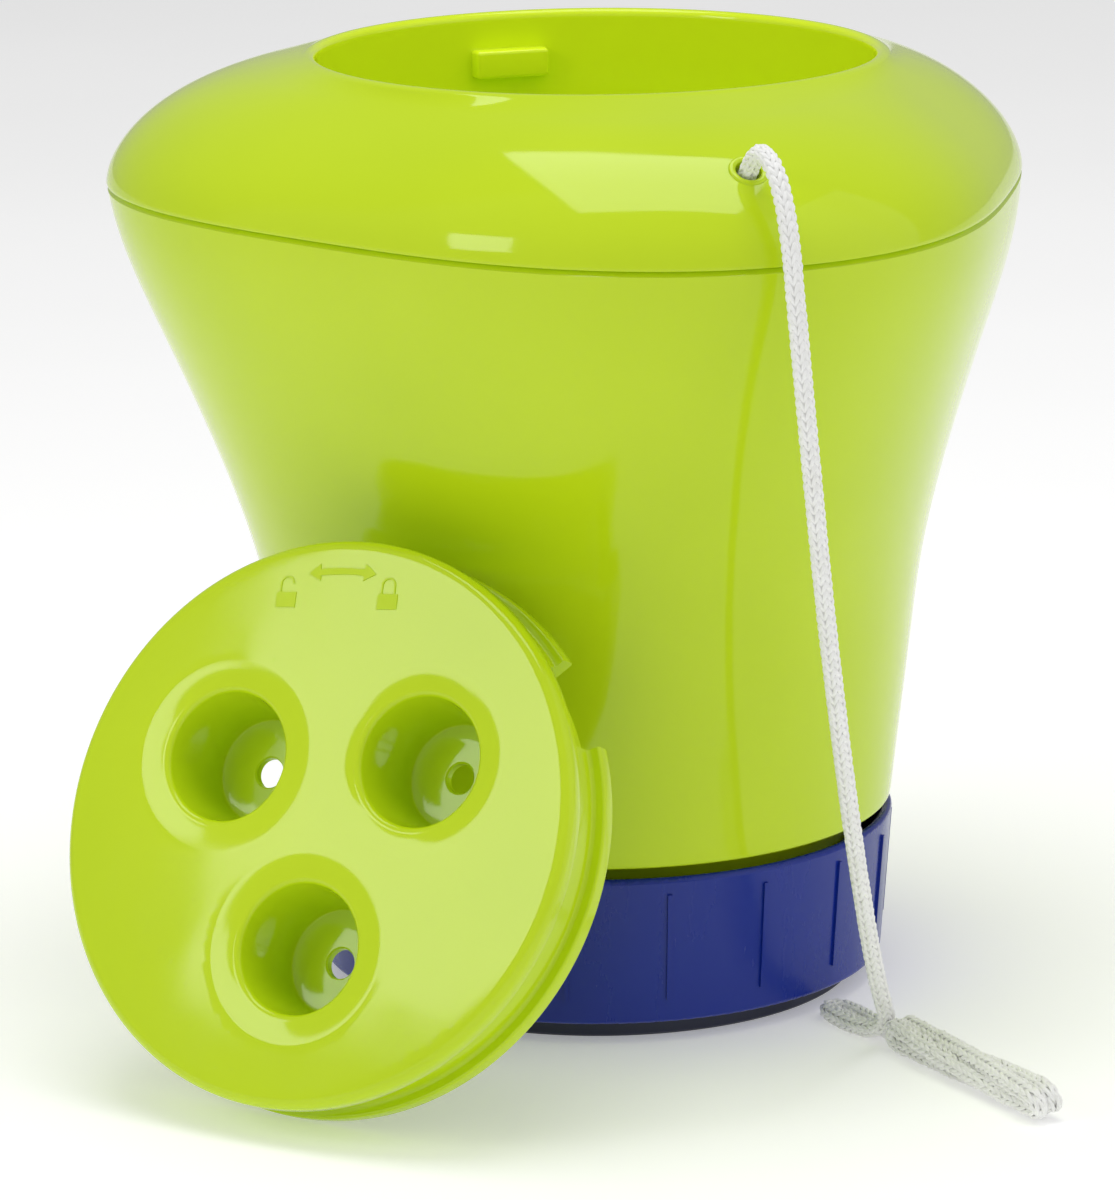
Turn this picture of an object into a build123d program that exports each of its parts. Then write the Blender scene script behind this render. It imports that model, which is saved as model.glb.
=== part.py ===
"""Floating chlorine dispenser: a three-lobed float with a tablet chamber and a twist regulator.

Millimetres, +Z up. The origin is the centre of the foot's underside, on the chamber's axis.
The dispenser stands on its foot. Its lid is off and leans on the front left of the hull.
The tether hangs from the dome to the floor, where its spare length lies folded in a hank.
"""

import os
from math import acos, atan2, cos, degrees, pi, radians, sin, tan

from build123d import *

os.makedirs("parts", exist_ok=True)

# ---------------------------------------- driving dimensions
WALL = 2.4
SEAM_RADIUS = 100.0
SEAM_HEIGHT = 178.0
LOBE_HEIGHT = 8.8
LOBE_AZIMUTH = 49.0
LOBES = 3
OUTLINE_POINTS = 36

DOME_RISE = 30.0
DOME_CENTRE_RADIUS = 52.6
DOME_SPREAD = 1.3
DOME_FULLNESS = 1.13
LIP_RADIUS = 64.0
LIP_ROUND = 1.6
THROAT_RADIUS = 61.0
THROAT_WALL = 2.2
THROAT_FLOOR = 171.5

LUGS = 2
LUG_AZIMUTH = LOBE_AZIMUTH + 60.0
LUG_WIDTH = 17.0
LUG_FACE_RADIUS = 57.5
LUG_BOTTOM = 192.6
LUG_TOP = 199.0

HULL_BOTTOM = 40.0
HULL_BOTTOM_RADIUS = 65.0
NECK_RADIUS = 56.5
NECK_BOTTOM = 6.6
NECK_WALL = 2.4
RIM_CHAMFER = 1.2

CHAMBER_RADIUS = 51.7
CHAMBER_WALL = 2.2
CHAMBER_FLOOR_TOP = 9.0
CHAMBER_TOP = 170.0
CHAMBER_RIM_RADIUS = 58.0

VENTS = 6
VENT_WIDTH = 24.0
VENT_BOTTOM = 13.0
VENT_HEIGHT = 18.0

RING_BOTTOM = 4.5
RING_TOP = 37.7
RING_BOTTOM_RADIUS = 62.9
RING_TOP_RADIUS = 65.4
RING_WALL = 2.2
RING_WEB = 1.8
RIBS = 18
RIB_AZIMUTH = -97.0
REGULATOR_TRAVEL = 30.0

FOOT_RADIUS = 57.1
FOOT_RIM = 4.2
STOP_RADIUS = 54.4
STOP_AZIMUTH = 90.0
STOP_TAB = 8.0

SCREWS = 3
SCREW_CIRCLE = 40.0
SCREW_SHANK_RADIUS = 1.75
SCREW_HEAD_RADIUS = 3.4
SCREW_HEAD_INSET = 0.6
SCREW_RECESS = 2.4

LID_RADIUS = 60.0
LID_DEPTH = 20.0
LID_SKIRT_RADIUS = 57.0
LID_FLANGE_RADIUS = 59.8
LID_FLANGE = 4.0
LID_CUTOUT_WIDTH = 20.0
LID_CUTOUT_AZIMUTH = 36.0
WELLS = 3
WELL_AZIMUTH = 36.0
WELL_CIRCLE = 26.7
WELL_RADIUS = 14.0
WELL_TAPER = 7.4
WELL_DEPTH = 18.7
DISH_RADIUS = 20.8
DISH_DEPTH = 0.5
DRAIN_RADIUS = 3.2

CORD_DIAMETER = 3.7
CORD_AZIMUTH = LOBE_AZIMUTH - 120.0
CORD_EXIT_ANGLE = 38.9


# ---------------------------------------- outline of the float
def lobed_outline(mean_radius, lobe_height):
    """Points of a rounded three-lobed outline, for a periodic spline."""
    points = []
    for step in range(OUTLINE_POINTS):
        azimuth = step * 360.0 / OUTLINE_POINTS
        radius = mean_radius + lobe_height * cos(LOBES * radians(azimuth - LOBE_AZIMUTH))
        points.append((radius * cos(radians(azimuth)), radius * sin(radians(azimuth))))
    return points


def dome_station(angle):
    """Height, mean radius and lobe height of the dome at an angle up from its seam."""
    rise = sin(radians(angle)) ** DOME_FULLNESS if angle > 0 else 0.0
    spread = cos(radians(angle)) ** DOME_SPREAD
    radius = DOME_CENTRE_RADIUS + (SEAM_RADIUS - DOME_CENTRE_RADIUS) * spread
    inward = (SEAM_RADIUS - radius) / (SEAM_RADIUS - LIP_RADIUS)
    return SEAM_HEIGHT + DOME_RISE * rise, radius, LOBE_HEIGHT * (1 - inward**3)


def hull_station(height, radius):
    """Height, mean radius and lobe height of the hull, which is round at its lower edge."""
    share = (height - HULL_BOTTOM) / (SEAM_HEIGHT - HULL_BOTTOM)
    return height, radius, LOBE_HEIGHT * share**1.35


def wedges(count, azimuth, width):
    """Sketch sectors of a given angular width from the axis out to beyond every wall."""
    reach = 90.0
    half = reach * tan(radians(width / 2))
    with PolarLocations(0, count, start_angle=azimuth):
        Polygon((0, 0), (reach, -half), (reach, half), align=None)


DOME_ANGLES = (0, 8, 16, 24, 33, 42, 51, 60, 66)
LIP_SHARE = (LIP_RADIUS - DOME_CENTRE_RADIUS) / (SEAM_RADIUS - DOME_CENTRE_RADIUS)
DOME_LIP_ANGLE = degrees(acos(LIP_SHARE ** (1 / DOME_SPREAD)))
DOME_STATIONS = [dome_station(angle) for angle in DOME_ANGLES + (DOME_LIP_ANGLE,)]
LIP_HEIGHT = DOME_STATIONS[-1][0]

# height and mean radius, from the lower edge up to the seam's groove
HULL_PROFILE = (
    (HULL_BOTTOM, HULL_BOTTOM_RADIUS),
    (54.0, 67.0),
    (72.0, 69.9),
    (95.0, 74.0),
    (120.0, 81.3),
    (144.0, 90.2),
    (162.0, 96.8),
    (172.0, 99.2),
    (SEAM_HEIGHT - RIM_CHAMFER, 99.8),
)
HULL_STATIONS = [hull_station(height, radius) for height, radius in HULL_PROFILE]

# ---------------------------------------- float_dome: upper shell with the throat
exit_height, exit_radius, exit_lobe = dome_station(CORD_EXIT_ANGLE)
exit_reach = exit_radius + exit_lobe
EXIT_SLOPE = 54.0
outward = Vector(cos(radians(CORD_AZIMUTH)), sin(radians(CORD_AZIMUTH)), 0)
EXIT_POINT = outward * exit_reach + Vector(0, 0, exit_height)
EXIT_NORMAL = outward * cos(radians(EXIT_SLOPE)) + Vector(0, 0, sin(radians(EXIT_SLOPE)))
CORD_EXIT = Plane(origin=EXIT_POINT, z_dir=EXIT_NORMAL)
CORD_HOLE_RADIUS = 2.7
SOCKET_RADIUS = 6.6
SOCKET_DEPTH = 13.0
SOCKET_WALL = 1.6
HOLE_RIM = 1.5
RIM_PROUD = 0.5

with BuildPart() as float_dome:
    for height, radius, lobe in DOME_STATIONS:
        with BuildSketch(Plane.XY.offset(height)):
            with BuildLine():
                Spline(*lobed_outline(radius, lobe), periodic=True)
            make_face()
    loft()
    # the air space under the shell, one wall inside it
    for angle in DOME_ANGLES:
        height, radius, lobe = dome_station(angle)
        lean = radians(min(1.3 * angle, 90.0))
        with BuildSketch(Plane.XY.offset(height - WALL * sin(lean))):
            with BuildLine():
                Spline(*lobed_outline(radius - WALL * cos(lean), lobe), periodic=True)
            make_face()
    loft(mode=Mode.SUBTRACT)
    # throat tube and the floor that closes the air space round the chamber
    with BuildSketch(Plane.XY.offset(THROAT_FLOOR)):
        Circle(THROAT_RADIUS + THROAT_WALL)
        Circle(THROAT_RADIUS, mode=Mode.SUBTRACT)
    extrude(amount=LIP_HEIGHT - THROAT_FLOOR)
    with BuildSketch(Plane.XY.offset(THROAT_FLOOR)):
        Circle(THROAT_RADIUS + THROAT_WALL)
        Circle(CHAMBER_RADIUS - CHAMBER_WALL, mode=Mode.SUBTRACT)
    extrude(amount=THROAT_WALL)
    with BuildSketch(Plane.XY.offset(THROAT_FLOOR + THROAT_WALL)):
        Circle(THROAT_RADIUS)
    extrude(amount=LIP_HEIGHT - THROAT_FLOOR, mode=Mode.SUBTRACT)
    # rolled lip of the mouth
    with BuildSketch(Plane.XZ):
        with Locations((THROAT_RADIUS + LIP_ROUND, LIP_HEIGHT - 0.4)):
            Circle(LIP_ROUND)
    revolve(axis=Axis.Z)
    # bayonet lugs inside the throat, one each side
    with BuildSketch(Plane.XY.offset(LUG_BOTTOM)):
        wedges(LUGS, LUG_AZIMUTH, LUG_WIDTH)
        Circle(THROAT_RADIUS + 1.0, mode=Mode.INTERSECT)
        Circle(LUG_FACE_RADIUS, mode=Mode.SUBTRACT)
    extrude(amount=LUG_TOP - LUG_BOTTOM)
    # blind socket for the tether's knot, with its hole and rim
    with BuildSketch(CORD_EXIT.offset(-SOCKET_DEPTH)):
        Circle(SOCKET_RADIUS)
    extrude(amount=SOCKET_DEPTH - 1.0)
    with BuildSketch(CORD_EXIT.offset(SOCKET_WALL - SOCKET_DEPTH)):
        Circle(SOCKET_RADIUS - SOCKET_WALL)
    extrude(amount=SOCKET_DEPTH - SOCKET_WALL - WALL, mode=Mode.SUBTRACT)
    with BuildSketch(CORD_EXIT.offset(-1.0)):
        Circle(CORD_HOLE_RADIUS + HOLE_RIM)
    extrude(amount=1.0 + RIM_PROUD)
    with BuildSketch(CORD_EXIT.offset(-4.0)):
        Circle(CORD_HOLE_RADIUS)
    extrude(amount=6.0, mode=Mode.SUBTRACT)
float_dome.part.label = "float_dome"
export_step(float_dome.part, "parts/float_dome.step")

# ---------------------------------------- hull_shell: lower shell with the vented neck
TONGUE_OUTSIDE = 95.8
TONGUE_INSIDE = 94.2
TONGUE_HEIGHT = 4.5
SEAT_OUTSIDE = 98.0
SEAT_BOTTOM = 171.5
CHAMBER_LIP_BORE = 51.9
SEAL_SEAT_BORE = 52.2
SEAL_SEAT_BOTTOM = 32.2
SEAT_THICKNESS = 1.8
NECK_BORE = NECK_RADIUS - NECK_WALL
SLOPED_WALL = 1.05 * WALL
INNER_LEVELS = [HULL_BOTTOM + WALL] + [height for height, _ in HULL_PROFILE[1:-1]] + [SEAM_HEIGHT]

with BuildPart() as hull_shell:
    for height, radius, lobe in HULL_STATIONS:
        with BuildSketch(Plane.XY.offset(height)):
            with BuildLine():
                Spline(*lobed_outline(radius, lobe), periodic=True)
            make_face()
    loft()
    # chamfered rim that leaves a fine groove under the dome's edge
    rim_radius, rim_lobe = HULL_STATIONS[-1][1:]
    for height, inset in ((SEAM_HEIGHT - RIM_CHAMFER, 0.0), (SEAM_HEIGHT, RIM_CHAMFER)):
        with BuildSketch(Plane.XY.offset(height)):
            with BuildLine():
                Spline(*lobed_outline(rim_radius - inset, rim_lobe), periodic=True)
            make_face()
    loft(ruled=True)
    # air space inside the shell
    for level, (_, radius, lobe) in zip(INNER_LEVELS, HULL_STATIONS):
        with BuildSketch(Plane.XY.offset(level)):
            with BuildLine():
                Spline(*lobed_outline(radius - SLOPED_WALL, lobe), periodic=True)
            make_face()
    loft(mode=Mode.SUBTRACT)
    # seat under the dome's edge and the tongue that centres it
    for level, tall, outside in (
        (SEAT_BOTTOM, SEAM_HEIGHT - SEAT_BOTTOM, SEAT_OUTSIDE),
        (SEAM_HEIGHT, TONGUE_HEIGHT, TONGUE_OUTSIDE),
    ):
        with BuildSketch(Plane.XY.offset(level)):
            with BuildLine():
                Spline(*lobed_outline(outside, LOBE_HEIGHT), periodic=True)
            make_face()
            with BuildLine():
                Spline(*lobed_outline(TONGUE_INSIDE, LOBE_HEIGHT), periodic=True)
            make_face(mode=Mode.SUBTRACT)
        extrude(amount=tall)
    # neck
    with BuildSketch(Plane.XY.offset(NECK_BOTTOM)):
        Circle(NECK_RADIUS)
    extrude(amount=HULL_BOTTOM + WALL - NECK_BOTTOM)
    with BuildSketch(Plane.XY.offset(NECK_BOTTOM)):
        Circle(NECK_BORE)
    extrude(amount=HULL_BOTTOM - NECK_BOTTOM + 3.0, mode=Mode.SUBTRACT)
    # lip over the chamber's flange, and the seat of the lower seal
    for level, inside in ((CHAMBER_FLOOR_TOP, CHAMBER_LIP_BORE), (SEAL_SEAT_BOTTOM, SEAL_SEAT_BORE)):
        with BuildSketch(Plane.XY.offset(level)):
            Circle(NECK_BORE + 0.5)
            Circle(inside, mode=Mode.SUBTRACT)
        extrude(amount=SEAT_THICKNESS)
    # vents
    with BuildSketch(Plane.XY.offset(VENT_BOTTOM)):
        wedges(VENTS, 0, VENT_WIDTH)
        Circle(NECK_BORE - 0.5, mode=Mode.SUBTRACT)
    extrude(amount=VENT_HEIGHT, mode=Mode.SUBTRACT)
hull_shell.part.label = "hull_shell"
export_step(hull_shell.part, "parts/hull_shell.step")

# ---------------------------------------- tablet_chamber: tube that holds the tablets
BOSS_RADIUS = 3.8
BOSS_TOP = 20.0
PILOT_DEPTH = 11.5
FIRST_SCREW = 30.0

with BuildPart() as tablet_chamber:
    with BuildSketch(Plane.XY.offset(NECK_BOTTOM)):
        Circle(CHAMBER_RADIUS)
    extrude(amount=CHAMBER_TOP - NECK_BOTTOM)
    with BuildSketch(Plane.XY.offset(NECK_BOTTOM)):
        Circle(NECK_BORE - 0.2)
    extrude(amount=CHAMBER_FLOOR_TOP - NECK_BOTTOM)
    with BuildSketch(Plane.XY.offset(CHAMBER_TOP - WALL)):
        Circle(CHAMBER_RIM_RADIUS)
    extrude(amount=WALL)
    with BuildSketch(Plane.XY.offset(CHAMBER_FLOOR_TOP)):
        Circle(CHAMBER_RADIUS - CHAMBER_WALL)
    extrude(amount=CHAMBER_TOP, mode=Mode.SUBTRACT)
    with BuildSketch(Plane.XY.offset(CHAMBER_FLOOR_TOP)):
        with PolarLocations(SCREW_CIRCLE, SCREWS, start_angle=FIRST_SCREW):
            Circle(BOSS_RADIUS)
    extrude(amount=BOSS_TOP - CHAMBER_FLOOR_TOP)
    with BuildSketch(Plane.XY.offset(NECK_BOTTOM)):
        with PolarLocations(SCREW_CIRCLE, SCREWS, start_angle=FIRST_SCREW):
            Circle(SCREW_SHANK_RADIUS + 0.05)
    extrude(amount=PILOT_DEPTH, mode=Mode.SUBTRACT)
    with BuildSketch(Plane.XY.offset(VENT_BOTTOM)):
        wedges(VENTS, 0, VENT_WIDTH)
        Circle(CHAMBER_RADIUS - CHAMBER_WALL - 0.3, mode=Mode.SUBTRACT)
    extrude(amount=VENT_HEIGHT, mode=Mode.SUBTRACT)
tablet_chamber.part.label = "tablet_chamber"
export_step(tablet_chamber.part, "parts/tablet_chamber.step")

# ---------------------------------------- seals
with BuildPart() as upper_seal:
    with BuildSketch(Plane.XY.offset(CHAMBER_TOP)):
        Circle(CHAMBER_RIM_RADIUS - 0.5)
        Circle(CHAMBER_RIM_RADIUS - 4.5, mode=Mode.SUBTRACT)
    extrude(amount=THROAT_FLOOR - CHAMBER_TOP)
upper_seal.part.label = "upper_seal"
export_step(upper_seal.part, "parts/upper_seal.step")

with BuildPart() as lower_seal:
    with BuildSketch(Plane.XY.offset(SEAL_SEAT_BOTTOM + SEAT_THICKNESS)):
        Circle(NECK_BORE - 0.05)
        Circle(CHAMBER_RADIUS + 0.05, mode=Mode.SUBTRACT)
    extrude(amount=2.5)
lower_seal.part.label = "lower_seal"
export_step(lower_seal.part, "parts/lower_seal.step")

# ---------------------------------------- foot_plate: closes the base and traps the ring
NOTCH_WIDTH = STOP_TAB + REGULATOR_TRAVEL + 4.0

with BuildPart() as foot_plate:
    with BuildSketch():
        Circle(FOOT_RADIUS)
    extrude(amount=FOOT_RIM)
    chamfer(foot_plate.edges().group_by(Axis.Z)[0], 0.6)
    with BuildSketch(Plane.XY.offset(FOOT_RIM)):
        Circle(STOP_RADIUS)
    extrude(amount=NECK_BOTTOM - FOOT_RIM)
    with BuildSketch(Plane.XY.offset(FOOT_RIM)):
        wedges(1, STOP_AZIMUTH, NOTCH_WIDTH)
        Circle(STOP_RADIUS - 2.6, mode=Mode.SUBTRACT)
    extrude(amount=NECK_BOTTOM - FOOT_RIM, mode=Mode.SUBTRACT)
    with BuildSketch():
        with PolarLocations(SCREW_CIRCLE, SCREWS, start_angle=FIRST_SCREW):
            Circle(SCREW_SHANK_RADIUS + 0.15)
    extrude(amount=NECK_BOTTOM, mode=Mode.SUBTRACT)
    with BuildSketch():
        with PolarLocations(SCREW_CIRCLE, SCREWS, start_angle=FIRST_SCREW):
            Circle(SCREW_HEAD_RADIUS + 0.3)
    extrude(amount=SCREW_RECESS, mode=Mode.SUBTRACT)
foot_plate.part.label = "foot_plate"
export_step(foot_plate.part, "parts/foot_plate.step")

# ---------------------------------------- foot_screws: three pan-head screws
SCREW_TIP = NECK_BOTTOM + PILOT_DEPTH - 0.5

with BuildPart() as foot_screws:
    with BuildSketch(Plane.XY.offset(SCREW_HEAD_INSET)):
        with PolarLocations(SCREW_CIRCLE, SCREWS, start_angle=FIRST_SCREW):
            Circle(SCREW_HEAD_RADIUS)
    extrude(amount=SCREW_RECESS - SCREW_HEAD_INSET)
    with BuildSketch(Plane.XY.offset(SCREW_HEAD_INSET)):
        with PolarLocations(SCREW_CIRCLE, SCREWS, start_angle=FIRST_SCREW):
            Rectangle(4.0, 0.8)
            Rectangle(0.8, 4.0)
    extrude(amount=0.9, mode=Mode.SUBTRACT)
    with BuildSketch(Plane.XY.offset(SCREW_RECESS)):
        with PolarLocations(SCREW_CIRCLE, SCREWS, start_angle=FIRST_SCREW):
            Circle(SCREW_SHANK_RADIUS)
    extrude(amount=SCREW_TIP - SCREW_RECESS)
foot_screws.part.label = "foot_screws"
export_step(foot_screws.part, "parts/foot_screws.step")

# ---------------------------------------- regulator_ring: ribbed ring that opens the vents
SLEEVE_BORE = NECK_RADIUS + 0.3
SLEEVE_WALL = 1.8
SLEEVE_TOP = 33.0
WEB_BORE = STOP_RADIUS + 0.5
WEB_TOP = RING_BOTTOM + RING_WEB
RIB_LOW = 10.0
RIB_HIGH = 34.0
RIB_PROUD = 0.55
RIB_HALF_WIDTH = 0.5


def ring_radius(height):
    """Outer radius of the slightly flared ring at a height."""
    share = (height - RING_BOTTOM) / (RING_TOP - RING_BOTTOM)
    return RING_BOTTOM_RADIUS + (RING_TOP_RADIUS - RING_BOTTOM_RADIUS) * share


with BuildPart() as regulator_ring:
    with BuildSketch(Plane.XZ):
        with BuildLine():
            Polyline(
                (WEB_BORE, RING_BOTTOM),
                (RING_BOTTOM_RADIUS, RING_BOTTOM),
                (RING_TOP_RADIUS, RING_TOP),
                (RING_TOP_RADIUS - RING_WALL, RING_TOP),
                (ring_radius(WEB_TOP) - RING_WALL, WEB_TOP),
                (SLEEVE_BORE + SLEEVE_WALL, WEB_TOP),
                (SLEEVE_BORE + SLEEVE_WALL, SLEEVE_TOP),
                (SLEEVE_BORE, SLEEVE_TOP),
                (SLEEVE_BORE, WEB_TOP),
                (WEB_BORE, WEB_TOP),
                close=True,
            )
        make_face()
    revolve(axis=Axis.Z)
    fillet(regulator_ring.edges().group_by(Axis.Z)[-1], 1.0)
    fillet(regulator_ring.edges().group_by(Axis.Z)[0].sort_by(SortBy.RADIUS)[-1], 1.2)
    # vents in the sleeve, shut at rest and open after the full turn
    with BuildSketch(Plane.XY.offset(VENT_BOTTOM)):
        wedges(VENTS, -REGULATOR_TRAVEL, VENT_WIDTH)
        Circle(SLEEVE_BORE + SLEEVE_WALL + 0.5, mode=Mode.INTERSECT)
        Circle(SLEEVE_BORE - 0.5, mode=Mode.SUBTRACT)
    extrude(amount=VENT_HEIGHT, mode=Mode.SUBTRACT)
    # grip ribs
    for rib in range(RIBS):
        azimuth = radians(RIB_AZIMUTH + rib * 360.0 / RIBS)
        radial = (cos(azimuth), sin(azimuth), 0)
        with BuildSketch(Plane(origin=(0, 0, 0), x_dir=radial, z_dir=(sin(azimuth), -cos(azimuth), 0))):
            with BuildLine():
                Polyline(
                    (ring_radius(RIB_LOW) - 1.0, RIB_LOW),
                    (ring_radius(RIB_LOW) + RIB_PROUD, RIB_LOW),
                    (ring_radius(RIB_HIGH) + RIB_PROUD, RIB_HIGH),
                    (ring_radius(RIB_HIGH) - 1.0, RIB_HIGH),
                    close=True,
                )
            make_face()
        extrude(amount=RIB_HALF_WIDTH, both=True)
    # tab that stops the turn at each end
    with BuildSketch(Plane.XY.offset(RING_BOTTOM)):
        wedges(1, STOP_AZIMUTH - REGULATOR_TRAVEL / 2, STOP_TAB)
        Circle(WEB_BORE + 0.5, mode=Mode.INTERSECT)
        Circle(WEB_BORE - 2.5, mode=Mode.SUBTRACT)
    extrude(amount=RING_WEB)
regulator_ring.part.label = "regulator_ring"
export_step(regulator_ring.part, "parts/regulator_ring.step")

# ---------------------------------------- lid: bayonet lid with three finger wells
LID_AZIMUTH = -119.9
LID_LEAN = 25.5
LID_CENTRE = Vector(-59.8, -103.3, 62.65)
facing = Vector(cos(radians(LID_AZIMUTH)), sin(radians(LID_AZIMUTH)), 0)
LID_NORMAL = facing * cos(radians(LID_LEAN)) + Vector(0, 0, sin(radians(LID_LEAN)))
LID_ACROSS = Vector(0, 0, 1).cross(LID_NORMAL).normalized()
LID_FACE = Plane(origin=LID_CENTRE, x_dir=LID_ACROSS, z_dir=LID_NORMAL)
LID_SECTION = Plane(origin=LID_CENTRE, x_dir=LID_ACROSS, z_dir=LID_ACROSS.cross(LID_NORMAL))
LID_PLATE = 2.6
LID_EDGE = 5.0
SKIRT_BORE = 54.6
CHANNEL_RADIUS = 54.2
CHANNEL_WALL = 2.2
SKIRT_STEP = 1.2
SKIRT_STEP_DEPTH = 2.0
CUP_WALL = 2.0
MOUTH_ROUND = 1.5
MOUTH_RADIUS = WELL_RADIUS - DISH_DEPTH * tan(radians(WELL_TAPER))
DISH_SLOPE = degrees(atan2(DISH_RADIUS - MOUTH_RADIUS, DISH_DEPTH))
CROWN_ROUND = 2.4


def height_over_lid(shape):
    """Distance of a face's or edge's centre from the plane of the lid's top."""
    return (shape.center() - LID_CENTRE).dot(LID_NORMAL)


with BuildPart() as lid:
    with BuildSketch(LID_SECTION):
        with BuildLine():
            Polyline(
                (0, 0),
                (LID_RADIUS, 0),
                (LID_RADIUS, -LID_EDGE),
                (LID_SKIRT_RADIUS + SKIRT_STEP, -LID_EDGE),
                (LID_SKIRT_RADIUS + SKIRT_STEP, -LID_EDGE - SKIRT_STEP_DEPTH),
                (LID_SKIRT_RADIUS, -LID_EDGE - SKIRT_STEP_DEPTH),
                (LID_SKIRT_RADIUS, LID_FLANGE - LID_DEPTH),
                (LID_FLANGE_RADIUS, LID_FLANGE - LID_DEPTH),
                (LID_FLANGE_RADIUS, -LID_DEPTH),
                (SKIRT_BORE, -LID_DEPTH),
                (SKIRT_BORE, -LID_PLATE),
                (0, -LID_PLATE),
                close=True,
            )
        make_face()
    revolve(axis=Axis(LID_CENTRE, LID_NORMAL))
    # thicker wall behind each bayonet channel, then the channel through the flange
    with BuildSketch(LID_FACE.offset(-LID_DEPTH)):
        wedges(LUGS, LID_CUTOUT_AZIMUTH, LID_CUTOUT_WIDTH + 5.0)
        Circle(SKIRT_BORE + 0.5, mode=Mode.INTERSECT)
        Circle(CHANNEL_RADIUS - CHANNEL_WALL, mode=Mode.SUBTRACT)
    extrude(amount=LID_DEPTH - LID_PLATE / 2)
    with BuildSketch(LID_FACE.offset(-LID_DEPTH)):
        wedges(LUGS, LID_CUTOUT_AZIMUTH, LID_CUTOUT_WIDTH)
        Circle(CHANNEL_RADIUS, mode=Mode.SUBTRACT)
    extrude(amount=LID_DEPTH - LID_EDGE - SKIRT_STEP_DEPTH, mode=Mode.SUBTRACT)
    # finger wells: outer cups, shallow dishes round the mouths, tapered hollows and drains
    with BuildSketch(LID_FACE.offset(-LID_PLATE / 2)):
        with PolarLocations(WELL_CIRCLE, WELLS, start_angle=WELL_AZIMUTH):
            Circle(WELL_RADIUS + CUP_WALL)
    extrude(amount=-(WELL_DEPTH + CUP_WALL - LID_PLATE / 2), taper=WELL_TAPER)
    with BuildSketch(LID_FACE):
        with PolarLocations(WELL_CIRCLE, WELLS, start_angle=WELL_AZIMUTH):
            Circle(DISH_RADIUS)
    extrude(amount=-DISH_DEPTH, taper=DISH_SLOPE, mode=Mode.SUBTRACT)
    with BuildSketch(LID_FACE):
        with PolarLocations(WELL_CIRCLE, WELLS, start_angle=WELL_AZIMUTH):
            Circle(WELL_RADIUS)
    extrude(amount=-WELL_DEPTH, taper=WELL_TAPER, mode=Mode.SUBTRACT)
    with BuildSketch(LID_FACE):
        with PolarLocations(WELL_CIRCLE, WELLS, start_angle=WELL_AZIMUTH):
            Circle(DRAIN_RADIUS)
    extrude(amount=-WELL_DEPTH - 2 * CUP_WALL, mode=Mode.SUBTRACT)
    mouths = lid.edges().filter_by(GeomType.CIRCLE)
    mouths = mouths.filter_by(lambda edge: abs(edge.radius - MOUTH_RADIUS) < 0.01)
    fillet(mouths.filter_by(lambda edge: abs(height_over_lid(edge) + DISH_DEPTH) < 0.01), MOUTH_ROUND)
    circles = lid.edges().filter_by(GeomType.CIRCLE)
    crown = circles.filter_by(lambda edge: abs(edge.radius - LID_RADIUS) < 0.01)
    fillet(crown.sort_by(height_over_lid)[-1], CROWN_ROUND)
lid.part.label = "lid"
export_step(lid.part, "parts/lid.step")

# ---------------------------------------- tether: knot, cord, eye and hank
KNOT_RADIUS = 4.3
KNOT_FLAT = 3.6
KNOT_CENTRE = EXIT_POINT - EXIT_NORMAL * 7.0

with BuildPart() as stopper_knot:
    with BuildSketch(Plane(origin=KNOT_CENTRE, z_dir=EXIT_NORMAL).offset(KNOT_FLAT)):
        Circle(1.1 * KNOT_RADIUS)
    extrude(amount=-2 * KNOT_RADIUS)
    ball = Solid.make_sphere(KNOT_RADIUS, Plane(origin=KNOT_CENTRE), angle1=-90, angle2=90)
    add(ball, mode=Mode.INTERSECT)
stopper_knot.part.label = "stopper_knot"
export_step(stopper_knot.part, "parts/stopper_knot.step")

CORD_START = KNOT_CENTRE + EXIT_NORMAL * KNOT_FLAT
CORD_ROUTE = [
    CORD_START,
    Vector(32.0, -93.1, 200.0),
    Vector(34.6, -97.9, 200.6),
    Vector(37.2, -103.3, 195.2),
    Vector(39.0, -107.4, 184.5),
    Vector(40.4, -108.6, 168.0),
    Vector(42.9, -107.4, 141.0),
    Vector(46.3, -101.2, 106.0),
    Vector(51.2, -90.0, 65.5),
    Vector(55.0, -79.8, 39.0),
    Vector(57.8, -72.6, 22.0),
    Vector(60.0, -67.4, 11.5),
    Vector(61.5, -64.6, 6.0),
]


def corner_radii(route):
    """Largest even arc at each inner point of a route: 0.45 of the shorter run over tan(half turn)."""
    radii = []
    for before, corner, after in zip(route, route[1:], route[2:]):
        turn = (corner - before).get_angle(after - corner)
        run = min((corner - before).length, (after - corner).length)
        radii.append(0.45 * run / tan(radians(turn / 2)))
        print(f"run {run:6.1f}  turn {turn:5.1f}  radius {radii[-1]:6.1f}")
    return radii


with BuildPart() as tether_cord:
    with BuildLine() as cord_path:
        FilletPolyline(*CORD_ROUTE, radius=corner_radii(CORD_ROUTE))
    with BuildSketch(Plane(origin=cord_path.line @ 0, z_dir=cord_path.line % 0)):
        Circle(CORD_DIAMETER / 2)
    sweep(path=cord_path.line)
tether_cord.part.label = "tether_cord"
export_step(tether_cord.part, "parts/tether_cord.step")
cord_length = cord_path.wire().length
section = pi * (CORD_DIAMETER / 2) ** 2
print(f"cord {cord_length:.1f} mm, volume ratio {tether_cord.part.volume / (section * cord_length):.4f}")

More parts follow.
